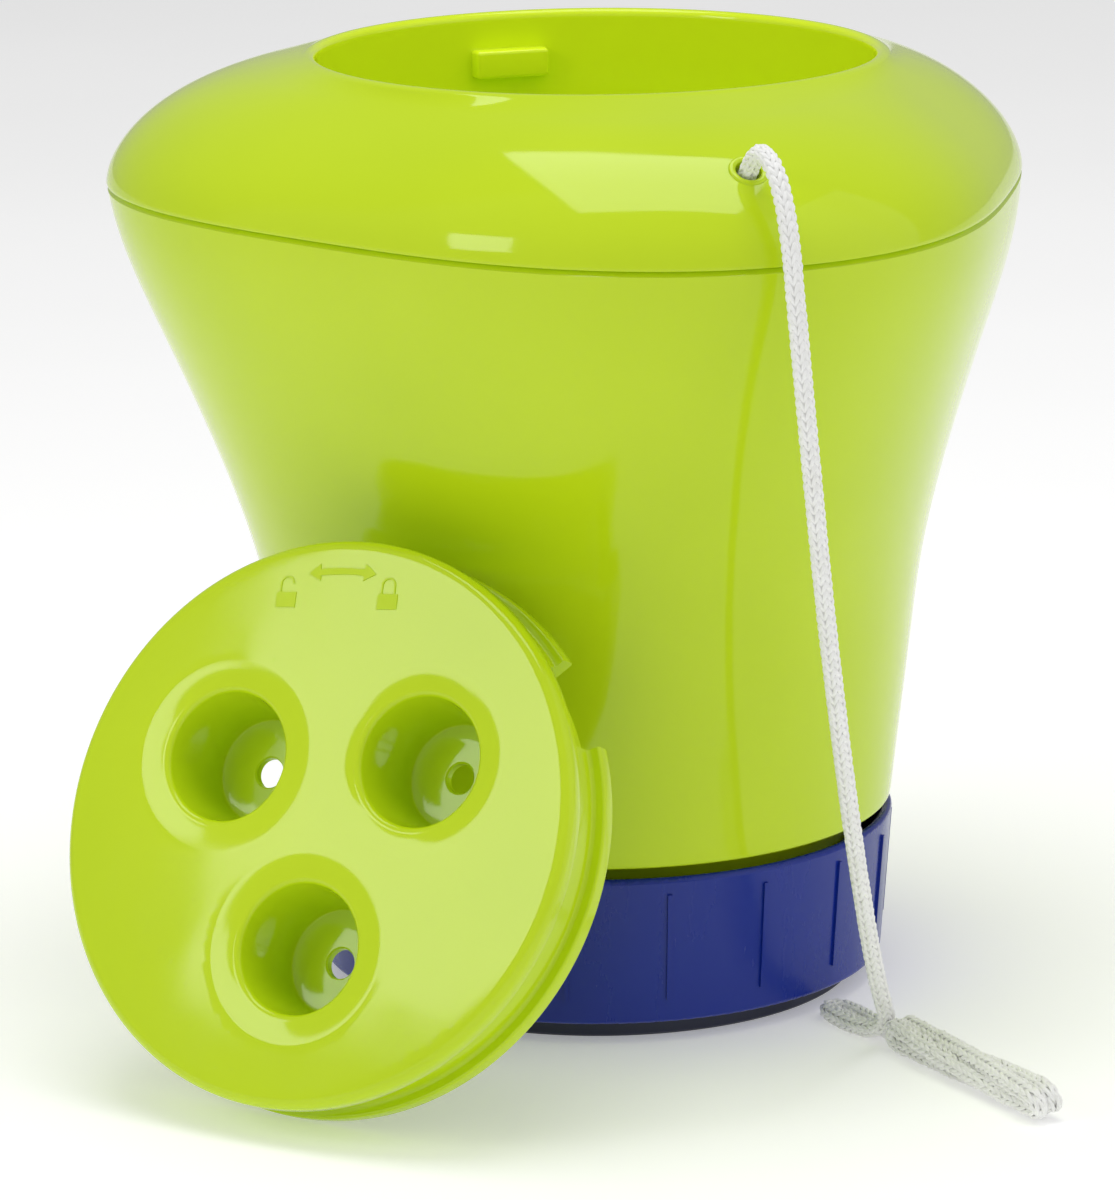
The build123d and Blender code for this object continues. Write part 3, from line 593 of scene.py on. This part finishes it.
bore = Parts()
HOLE_RADIUS, HOLE_LOW, HOLE_HIGH, RIM_RADIUS, RIM_PROUD = 2.7, -4, 2, 4.2, 0.5
bore.revolve([(0.001, HOLE_LOW), (HOLE_RADIUS, HOLE_LOW), (HOLE_RADIUS, HOLE_HIGH), (0.001, HOLE_HIGH)], at_exit, 48)
combine(float_dome, bore, "DIFFERENCE")


def join_extra(obj, parts, crease=35.0):
    """Adds more closed pieces to an object's mesh."""
    extra = new_object(obj.name + "_extra", parts.verts, parts.faces, obj.data.materials[0], crease)
    work = bmesh.new()
    work.from_mesh(obj.data)
    work.from_mesh(extra.data)
    work.to_mesh(obj.data)
    work.free()
    bpy.data.objects.remove(extra)


extras = Parts()
RIM_MIDDLE, RIM_HALF = (HOLE_RADIUS + RIM_RADIUS) / 2, (RIM_RADIUS - HOLE_RADIUS) / 2
extras.revolve(arc(RIM_MIDDLE, 0, RIM_HALF, RIM_PROUD, 0, 345, 23), at_exit, 64)
# the closed socket that holds the knot behind the hole
extras.revolve([(5.0, -1.4), (5.0, -11.4), (0.01, -11.4), (0.01, -13), (6.6, -13), (6.6, -1.4)], at_exit, 48)
# half the lug's width in degrees; the rest in millimetres
LUG_HALF, LUG_LOW, LUG_HIGH, LUG_FACE, LUG_EDGE, LUG_BACK, LUG_MIDDLE = 8.5, 192.6, 199.0, 57.5, 0.9, 61.6, 59
# (share of the edge's rounding still to come, share of it taken off the outline)
LUG_ROUNDING = [(1.0, 0.0), (0.45, 0.12), (0.12, 0.45), (0.0, 1.0)]


def lug(azimuth):
    """One bayonet lug inside the throat, a block with a rounded face that follows the wall."""
    outline = []
    for cx, cy, start in ((1, 1, 0), (-1, 1, 90), (-1, -1, 180), (1, -1, 270)):
        for k in range(5):
            a = math.radians(start + 22.5 * k)
            outline.append((cx, cy, math.cos(a), math.sin(a)))
    straight = LUG_HALF * math.radians(1) * LUG_MIDDLE - LUG_EDGE
    upright = (LUG_HIGH - LUG_LOW) / 2 - LUG_EDGE
    slices = [(LUG_BACK, 0.0)] + [(LUG_FACE + ahead * LUG_EDGE, off * LUG_EDGE) for ahead, off in LUG_ROUNDING]
    points = []
    for radius, inset in slices:
        for cx, cy, ox, oy in outline:
            x = cx * straight + ox * (LUG_EDGE - inset)
            z = (LUG_LOW + LUG_HIGH) / 2 + cy * upright + oy * (LUG_EDGE - inset)
            turn = azimuth + x / LUG_MIDDLE
            points.append((radius * math.cos(turn), radius * math.sin(turn), z))
    extras.add(points, capped_faces(len(slices), len(outline)))


for k in range(2):
    lug(LOBE_AZIMUTH + math.radians(60 + 180 * k))
join_extra(float_dome, extras, 45)
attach(float_dome, "float_body")
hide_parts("float_dome")

# ---------------------------------------------------------------- float: hull
HULL_PROFILE = [
    (65.0, 40.0), (67.0, 54.0), (69.9, 72.0), (74.0, 95.0), (81.3, 120.0),
    (90.2, 144.0), (96.8, 162.0), (99.2, 172.0), (99.8, 176.8),
]
HULL_WALL, NECK_RADIUS, NECK_BORE, NECK_BOTTOM = 2.52, 56.5, 54.1, 6.6
VENTS, VENT_HALF, VENT_BOTTOM, VENT_TOP, VENT_INNER, VENT_OUTER = 6, 12, 13.0, 31.0, 53.0, 58.5


def hull_lobe(height):
    """Height of the lobes on the hull: none at its lower edge and full at the seam."""
    return LOBE_HEIGHT * max(0.0, (height - 40.0) / 138.0) ** 1.35


side_line = [tuple(p) for p in spline_through(HULL_PROFILE, 90)]
hull_profile = [tuple(p) for p in arc(64.1, 41.0, 1.0, 1.0, -90, -8, 5)]
hull_profile += [(r, h) for r, h in side_line if h > 41.3]
hull_profile += [(98.6, 178.0), (95.8, 178.0), (95.8, 182.5), (94.2, 182.5), (94.2, 171.5), (96.6, 171.5)]
hull_profile += [(r - HULL_WALL, max(h, 42.4)) for r, h in side_line[::-6] if h < 168]
# the neck: down its bore past the lands of the two seals, and up its outside
hull_profile += [(NECK_BORE, 42.4), (NECK_BORE, 34.0), (52.2, 34.0), (52.2, 32.2), (NECK_BORE, 32.2)]
hull_profile += [(NECK_BORE, 20.0), (NECK_BORE, 10.8), (51.9, 10.8), (51.9, 9.0), (NECK_BORE, 9.0), (NECK_BORE, 7.0)]
hull_profile += [(54.5, NECK_BOTTOM), (56.1, NECK_BOTTOM)]
hull_profile += [(NECK_RADIUS, 7.0), (NECK_RADIUS, 20.0), (NECK_RADIUS, 39.4), (56.9, 40.0)]
BODY_FROM, TONGUE_ABOVE = 60, 178.2


def hull_ring(radius, height):
    """A point of the hull's profile with its lobe height: the neck is round, the tongue fully lobed."""
    if height > TONGUE_ABOVE:
        return radius, height, LOBE_HEIGHT
    return radius, height, hull_lobe(height) if radius > BODY_FROM and height < TONGUE_ABOVE else 0.0


hull_rings = [hull_ring(r, h) for r, h in hull_profile]
hull_shell = new_object("hull_body", lobed_rings(hull_rings), ring_faces(len(hull_rings), FLOAT_AROUND, True), green)


def vent_blocks():
    """Wedges that open the vents in the neck."""
    made = Parts()
    corners = [(VENT_INNER, -VENT_HALF), (VENT_OUTER, -VENT_HALF), (VENT_OUTER, VENT_HALF), (VENT_INNER, VENT_HALF)]
    for k in range(VENTS):
        verts = []
        for height in (VENT_BOTTOM, VENT_TOP):
            for radius, turn in corners:
                a = math.radians(360 // VENTS * k + turn)
                verts.append((radius * math.cos(a), radius * math.sin(a), height))
        made.add(verts, [(3, 2, 1, 0), (4, 5, 6, 7), (0, 1, 5, 4), (1, 2, 6, 5), (2, 3, 7, 6), (3, 0, 4, 7)])
    return made


combine(hull_shell, vent_blocks(), "DIFFERENCE")
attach(hull_shell, "float_body")
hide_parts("hull_shell")

# ---------------------------------------------------------------- lid
LID_CENTRE = Vector((-59.8, -103.3, 62.65))
lid_normal = direction(math.radians(-119.9), math.radians(25.5))
lid_across = Vector((0, 0, 1)).cross(lid_normal).normalized()
lid_upslope = lid_normal.cross(lid_across)
LID_RADIUS, CROWN_ROUND, CROWN_RISE = 60.0, 2.4, 0.05
ROLL_START, ROLL_DROP = LID_RADIUS - CROWN_ROUND, CROWN_ROUND
WELL_CIRCLE, WELL_RADIUS, WELL_TAPER, WELL_DEPTH = 26.7, 14.0, math.radians(7.4), 18.7
DISH_RADIUS, DISH_DEPTH, MOUTH_ROUND, CUP_WALL, DRAIN_RADIUS = 20.8, 0.5, 1.5, 2.0, 3.2
WELL_AZIMUTHS = [math.radians(36 + 120 * k) for k in range(3)]
CUTOUT_AZIMUTHS = [math.radians(36 + 180 * k) for k in range(2)]
WELLS = [(WELL_CIRCLE * math.cos(a), WELL_CIRCLE * math.sin(a)) for a in WELL_AZIMUTHS]


def on_lid(x, y, height):
    """A point by its place on the lid's plane and its height over it."""
    return LID_CENTRE + lid_across * x + lid_upslope * y + lid_normal * height


def lid_height(x, y):
    """Height of the lid's top over its plane: a hair convex, and rolled over at its edge."""
    radius = math.hypot(x, y)
    over = min(max((radius - ROLL_START) / (LID_RADIUS - ROLL_START), 0.0), 1.0)
    return -ROLL_DROP * (1 - math.sqrt(1 - over * over)) - CROWN_RISE * (radius / ROLL_START) ** 2


def circle(cx, cy, radius, count):
    """Points round a circle on the lid's plane."""
    turns = [TURN * i / count for i in range(count)]
    return [(cx + radius * math.cos(a), cy + radius * math.sin(a)) for a in turns]


def clear_of_wells(x, y, radius):
    """Whether a point is further than a radius from the middle of each well."""
    return all(math.hypot(x - wx, y - wy) > radius for wx, wy in WELLS)


def pierced_disc(outline, opening, grid):
    """Corners and triangles of a flat disc with a round opening for each well."""
    points, edges = list(outline), [(i, (i + 1) % OUTER_AROUND) for i in range(OUTER_AROUND)]
    for wx, wy in WELLS:
        start = len(points)
        points += circle(wx, wy, opening, WELL_AROUND)
        edges += [(start + i, start + (i + 1) % WELL_AROUND) for i in range(WELL_AROUND)]
    verts, _, faces, *_ = delaunay_2d_cdt([Vector(p) for p in points + grid], edges, [], 0, 1e-5)
    kept = []
    for face in faces:
        cx, cy = (sum(verts[i][k] for i in face) / 3 for k in range(2))
        if clear_of_wells(cx, cy, opening * math.cos(math.pi / WELL_AROUND)):
            kept.append(tuple(face))
    return verts, kept


lid = Parts()
OUTER_AROUND, WELL_AROUND = 240, 120
edge_points = circle(0, 0, ROLL_START, OUTER_AROUND)
# a grid of equal triangles between the outlines keeps the top's shading even
GRID, GRID_ROW, GRID_ROWS, GRID_COLUMNS, EDGE_MARGIN, WELL_MARGIN = 1.6, 0.866, 42, 37, 1.0, 0.9
grid = []
for row in range(-GRID_ROWS, GRID_ROWS + 1):
    for column in range(-GRID_COLUMNS, GRID_COLUMNS + 1):
        x, y = (column + 0.5 * (row % 2)) * GRID, row * GRID * GRID_ROW
        if math.hypot(x, y) < ROLL_START - EDGE_MARGIN and clear_of_wells(x, y, DISH_RADIUS + WELL_MARGIN):
            grid.append((x, y))
top_verts, top_faces = pierced_disc(edge_points, DISH_RADIUS, grid)
lid.add([on_lid(v.x, v.y, lid_height(v.x, v.y)) for v in top_verts], top_faces)


def well_rings(centre, profile):
    """Turns (radius, height) points about a well's axis; the first ring lies on the lid's top."""
    verts = []
    for index, (radius, height) in enumerate(profile):
        for x, y in circle(*centre, radius, WELL_AROUND):
            verts.append(on_lid(x, y, height if index else lid_height(x, y)))
    lid.add(verts, ring_faces(len(profile), WELL_AROUND, False))


SKIRT_BORE, SKIRT_RADIUS, FLANGE_RADIUS, LID_EDGE, LID_DEPTH, FLANGE, PLATE = 54.6, 57.0, 59.8, 5.0, 20.0, 4.0, 2.6
rim = [(ROLL_START, 0)]
for over in np.sin(np.linspace(0, math.pi / 2, 16))[1:]:
    fall = ROLL_DROP * (1 - math.sqrt(max(1 - over * over, 0)))
    rim.append((ROLL_START + (LID_RADIUS - ROLL_START) * over, -fall - CROWN_RISE))
rim += [(LID_RADIUS, -LID_EDGE + 0.4), (LID_RADIUS - 0.12, -LID_EDGE + 0.12), (LID_RADIUS - 0.4, -LID_EDGE)]
rim += [(SKIRT_RADIUS + 1.5, -LID_EDGE), (SKIRT_RADIUS + 1.2, -LID_EDGE - 0.3), (SKIRT_RADIUS + 1.2, -LID_EDGE - 1.7)]
rim += [(SKIRT_RADIUS + 0.9, -LID_EDGE - 2.0), (SKIRT_RADIUS + 0.4, -LID_EDGE - 2.1), (SKIRT_RADIUS, -LID_EDGE - 2.5)]
rim += [(SKIRT_RADIUS, -10.0), (SKIRT_RADIUS, FLANGE - LID_DEPTH + 0.9)]
rim += [(SKIRT_RADIUS + 0.3, FLANGE - LID_DEPTH + 0.3), (SKIRT_RADIUS + 0.9, FLANGE - LID_DEPTH)]
FLANGE_ROUND, UNDER_ROUND = 0.7, 0.6
rim += arc(FLANGE_RADIUS - FLANGE_ROUND, FLANGE - LID_DEPTH - FLANGE_ROUND, FLANGE_ROUND, FLANGE_ROUND, 90, 0, 5)
rim += arc(FLANGE_RADIUS - FLANGE_ROUND, -LID_DEPTH + FLANGE_ROUND, FLANGE_ROUND, FLANGE_ROUND, 0, -90, 5)
rim += [(SKIRT_BORE + 0.5, -LID_DEPTH), (SKIRT_BORE, -LID_DEPTH + 0.5), (SKIRT_BORE, -10.0)]
rim += [(SKIRT_BORE, -PLATE - UNDER_ROUND), (SKIRT_BORE - UNDER_ROUND, -PLATE)]
rim_verts = []
for index, (radius, height) in enumerate(rim):
    for x, y in edge_points:
        x, y = x * radius / ROLL_START, y * radius / ROLL_START
        rim_verts.append(on_lid(x, y, height if index else lid_height(x, y)))
lid.add(rim_verts, ring_faces(len(rim), OUTER_AROUND, False))


def well_wall(depth):
    """Radius of the tapered well at a depth."""
    return WELL_RADIUS - depth * math.tan(WELL_TAPER)


def cup_wall(depth):
    """Outer radius of the tapered cup under a well at a depth."""
    return WELL_RADIUS + CUP_WALL - (depth - PLATE / 2) * math.tan(WELL_TAPER)


def dish_profile():
    """A dish that rolls in gently from the plate, then the tight lip down to the well's wall."""
    lip_middle = (well_wall(DISH_DEPTH + MOUTH_ROUND) + MOUTH_ROUND / math.cos(WELL_TAPER), -DISH_DEPTH - MOUTH_ROUND)
    points = [(DISH_RADIUS, 0)]
    for share in np.linspace(0, 1, 22)[1:]:
        points.append((DISH_RADIUS + (lip_middle[0] - DISH_RADIUS) * share, -DISH_DEPTH * share**1.9))
    return points + arc(*lip_middle, MOUTH_ROUND, MOUTH_ROUND, 90 + 8, 180 - 7.4, 9)


CUP_BOTTOM, FLOOR_ROUND, DRAIN_ROUND = WELL_DEPTH + CUP_WALL, 0.5, 0.35
# down the dish and the well's wall, through the drain, and back up the outside of the cup
floor_edge = well_wall(WELL_DEPTH)
well_profile = dish_profile()
well_profile += [(well_wall(depth), -depth) for depth in (5.0, 8.0, 11.0, 14.0, 16.5, WELL_DEPTH - FLOOR_ROUND)]
well_profile += [(floor_edge - 0.15, -WELL_DEPTH + 0.15), (floor_edge - FLOOR_ROUND, -WELL_DEPTH)]
well_profile += [(7.0, -WELL_DEPTH), (DRAIN_RADIUS + DRAIN_ROUND, -WELL_DEPTH)]
well_profile += [(DRAIN_RADIUS, -WELL_DEPTH - DRAIN_ROUND), (DRAIN_RADIUS, -CUP_BOTTOM)]
well_profile += [(cup_wall(depth), -depth) for depth in (CUP_BOTTOM, 12.0, PLATE)]
for centre in WELLS:
    well_rings(centre, well_profile)
UNDER_RADIUS = SKIRT_BORE - UNDER_ROUND
under_outline = [(x * UNDER_RADIUS / ROLL_START, y * UNDER_RADIUS / ROLL_START) for x, y in edge_points]
under_verts, under_faces = pierced_disc(under_outline, cup_wall(PLATE), [])
lid.add([on_lid(v.x, v.y, -PLATE) for v in under_verts], under_faces)
lid_body = new_object("lid_body", lid.verts, lid.faces, green, 40)


def lid_wedge(parts, azimuth, width, inner, outer, low, high, steps=12):
    """A closed sector block round the lid's axis."""
    verts = []
    for height in (low, high):
        for radius in (inner, outer):
            for i in range(steps + 1):
                a = azimuth + math.radians(width) * (i / steps - 0.5)
                verts.append(on_lid(radius * math.cos(a), radius * math.sin(a), height))
    n = steps + 1
    faces = []
    for i in range(steps):
        faces += [(i, i + 1, n + i + 1, n + i), (2 * n + i, 3 * n + i, 3 * n + i + 1, 2 * n + i + 1)]
        faces += [(i, 2 * n + i, 2 * n + i + 1, i + 1), (n + i, n + i + 1, 3 * n + i + 1, 3 * n + i)]
    faces += [(0, n, 3 * n, 2 * n), (n - 1, 3 * n - 1, 4 * n - 1, 2 * n - 1)]
    parts.add(verts, faces)


# the bayonet cut-outs through the flange, each with a wall behind it; widths in degrees
CHANNEL_WIDTH, CHANNEL_INNER, CHANNEL_OUTER, BACKING_WIDTH, BACKING_INNER = 20.0, 54.2, 62.0, 25.0, 52.0
channel_walls, channels = Parts(), Parts()
for azimuth in CUTOUT_AZIMUTHS:
    lid_wedge(channel_walls, azimuth, BACKING_WIDTH, BACKING_INNER, SKIRT_BORE + 0.6, -LID_DEPTH, -PLATE + 0.5)
    lid_wedge(channels, azimuth, CHANNEL_WIDTH, CHANNEL_INNER, CHANNEL_OUTER, -LID_DEPTH - 1.0, -LID_EDGE - 2.0)
combine(lid_body, channel_walls, "UNION", 40)
combine(lid_body, channels, "DIFFERENCE", 40)
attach(lid_body, "lid_body")
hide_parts("lid")

# raised lock signs
signs = Parts()
SIGN_PROUD, SIGN_ROOT = 0.16, -0.3


def raised(outline_pairs):
    """A raised strip on the lid's top between two lines of (x, y) points."""
    n = len(outline_pairs)
    verts = []
    for proud in (SIGN_PROUD, SIGN_ROOT):
        for pair in outline_pairs:
            for x, y in pair:
                verts.append(on_lid(x, y, lid_height(x, y) + proud))
    faces = []
    for i in range(n - 1):
        a, b = 2 * i, 2 * i + 2
        faces += [(a, b, b + 1, a + 1), (2 * n + a, 2 * n + a + 1, 2 * n + b + 1, 2 * n + b)]
        faces += [(a, 2 * n + a, 2 * n + b, b), (a + 1, b + 1, 2 * n + b + 1, 2 * n + a + 1)]
    last = 2 * n - 2
    faces += [(0, 1, 2 * n + 1, 2 * n), (last, 2 * n + last, 2 * n + last + 1, last + 1)]
    signs.add(verts, faces)


SIGN_TURN = math.radians(6.2)
LOCK_WIDTH, LOCK_HEIGHT, SHACKLE_REACH, SHACKLE_LEG, SHACKLE_LINE = 4.75, 3.3, 1.7, 1.8, 0.4
OPEN_LOCK, SHUT_LOCK = (-13.0, 46.9), (11.45, 46.6)
# the arrow's reach and head are angles in degrees; its shaft and barb are half widths
ARROW_RADIUS, ARROW_HALF, ARROW_HEAD, ARROW_SHAFT, ARROW_BARB, ARROW_TIP = 53.05, 5.7, 3.0, 0.7, 1.85, 0.97


def turned_sign(x, y):
    """A point of the signs, which are turned together about the lid's axis."""
    c, k = math.cos(SIGN_TURN), math.sin(SIGN_TURN)
    return (x * c - y * k, x * k + y * c)


def sign_strip(pairs):
    """A raised strip between two lines of points on the signs' own axes."""
    raised([tuple(turned_sign(*point) for point in pair) for pair in pairs])


def padlock(x, y, opened):
    """A padlock sign round a centre: a filled body and a thin shackle, which an open one leaves short."""
    half = LOCK_WIDTH / 2
    sign_strip([((x - half, y + LOCK_HEIGHT * t), (x + half, y + LOCK_HEIGHT * t)) for t in np.linspace(-0.5, 0.5, 6)])
    foot = y + LOCK_HEIGHT / 2
    top = foot + SHACKLE_LEG
    near, far = SHACKLE_REACH, SHACKLE_REACH - SHACKLE_LINE
    strip = [((x - near, foot), (x - far, foot))]
    for a in np.radians(np.linspace(180, 0, 16)):
        strip.append(tuple((x + reach * math.cos(a), top + reach * math.sin(a)) for reach in (near, far)))
    if not opened:
        strip.append(((x + near, foot), (x + far, foot)))
    sign_strip(strip)


def arrow_point(radius, turn):
    """A point at an angle clockwise from the signs' upward axis."""
    return (radius * math.sin(math.radians(turn)), radius * math.cos(math.radians(turn)))


padlock(*OPEN_LOCK, True)
padlock(*SHUT_LOCK, False)
shaft = []
for t in np.linspace(-ARROW_HALF, ARROW_HALF, 20):
    shaft.append(tuple(arrow_point(ARROW_RADIUS + w, t) for w in (ARROW_SHAFT, -ARROW_SHAFT)))
sign_strip(shaft)
for way in (1, -1):
    head = []
    for t in np.linspace(0, 1, 8):
        barb = ARROW_BARB * (1 - t * ARROW_TIP)
        head.append(tuple(arrow_point(ARROW_RADIUS + w * barb, way * (ARROW_HALF + ARROW_HEAD * t)) for w in (1, -1)))
    sign_strip(head)
lock_signs = new_object("lock_signs", signs.verts, signs.faces, green_emboss, 25)
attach(lock_signs, "lid_body")

# ---------------------------------------------------------------- floor and light
scene.view_settings.view_transform = "Standard"
floor_finish, floor_tree, floor_shader = material("floor", (0.88, 0.88, 0.88), 0.75)
FLOOR_GLOW, FLOOR_REACH = 0.26, 4000
floor_shader.inputs["Emission Color"].default_value = (1, 1, 1, 1)
floor_shader.inputs["Emission Strength"].default_value = FLOOR_GLOW
floor_where = node(floor_tree, "ShaderNodeTexCoord")
floor_tone = noise(floor_tree, floor_where, 3.0)
floor_stops = [(0.3, (0.87, 0.87, 0.87)), (0.7, (0.90, 0.90, 0.90))]
floor_tree.links.new(ramp(floor_tree, floor_tone, floor_stops), floor_shader.inputs["Base Color"])
corners = [(x * FLOOR_REACH, y * FLOOR_REACH, 0) for x, y in ((-1, -1), (1, -1), (1, 1), (-1, 1))]
floor = new_object("floor", corners, [(0, 1, 2, 3)], floor_finish)

# a pale room: FRONT_LIGHT from the camera's side and overhead, BACK_LIGHT from beyond the object
FRONT_LIGHT, BACK_LIGHT, LIGHT_FADE = 0.56, 0.40, 0.12
world = bpy.data.worlds.new("studio")
scene.world = world
world.use_nodes = True
sky = world.node_tree
sky.nodes["Background"].inputs["Color"].default_value = (1, 1, 1, 1)
heading = node(sky, "ShaderNodeTexCoord")
parts_of = node(sky, "ShaderNodeSeparateXYZ")
sky.links.new(heading.outputs["Generated"], parts_of.inputs["Vector"])
glow = spread(sky, parts_of.outputs["Y"], 0.0, LIGHT_FADE, FRONT_LIGHT, BACK_LIGHT)
sky.links.new(glow, sky.nodes["Background"].inputs["Strength"])


def soft_box(name, place, frame_axes, width, height, glow):
    """A soft light of a given size and radiance; frame_axes are its right, up and backward directions."""
    light = bpy.data.lights.new(name, "AREA")
    light.shape = "RECTANGLE"
    light.size, light.size_y, light.energy = width, height, glow * math.pi * width * height
    obj = bpy.data.objects.new(name, light)
    obj.matrix_world = Matrix.Translation(place) @ Matrix(frame_axes).transposed().to_4x4()
    scene.collection.objects.link(obj)


def facing_axes(place, target):
    """Right, up and backward directions of a light that faces a point."""
    back = (Vector(place) - Vector(target)).normalized()
    right_way = Vector((0, 0, 1)).cross(back)
    right_way = right_way.normalized() if right_way.length > 0.01 else Vector((1, 0, 0))
    return right_way, back.cross(right_way), back


# The lid mirrors this box. Its near and lower edges are set so that they cross the lid about where the
# photograph's highlight ends.
LID_BOX_DISTANCE, LID_BOX_WIDTH, LID_BOX_HEIGHT = 0.907, 0.25, 0.30
LID_BOX_NEAR_EDGE, LID_BOX_LOW_EDGE, LID_BOX_GLOW = -0.034, -0.072, 4.1
lid_middle = LID_CENTRE * MM
sight = (lid_middle - Vector(CAMERA_PLACE)).normalized()
bounce = sight - 2 * sight.dot(lid_normal) * lid_normal
box_right = (lid_across - bounce * lid_across.dot(bounce)).normalized()
box_up = bounce.cross(box_right)
box_place = lid_middle + bounce * LID_BOX_DISTANCE
box_place += box_right * (LID_BOX_NEAR_EDGE + LID_BOX_WIDTH / 2) + box_up * (LID_BOX_LOW_EDGE + LID_BOX_HEIGHT / 2)
soft_box("box_left", box_place, (box_right, box_up, bounce), LID_BOX_WIDTH, LID_BOX_HEIGHT, LID_BOX_GLOW)
# name, place, width, height, glow; each faces a point on the object's axis at AIM of its own height
AIM = 0.6
STUDIO_LIGHTS = [
    ("box_top", (0.0, 0.05, 1.35), 0.9, 0.9, 3.0),
    ("panel_right", (1.26, -0.30, 0.90), 1.5, 1.8, 0.38),
]
for name, place, width, height, glow in STUDIO_LIGHTS:
    soft_box(name, place, facing_axes(place, (0, 0, place[2] * AIM)), width, height, glow)
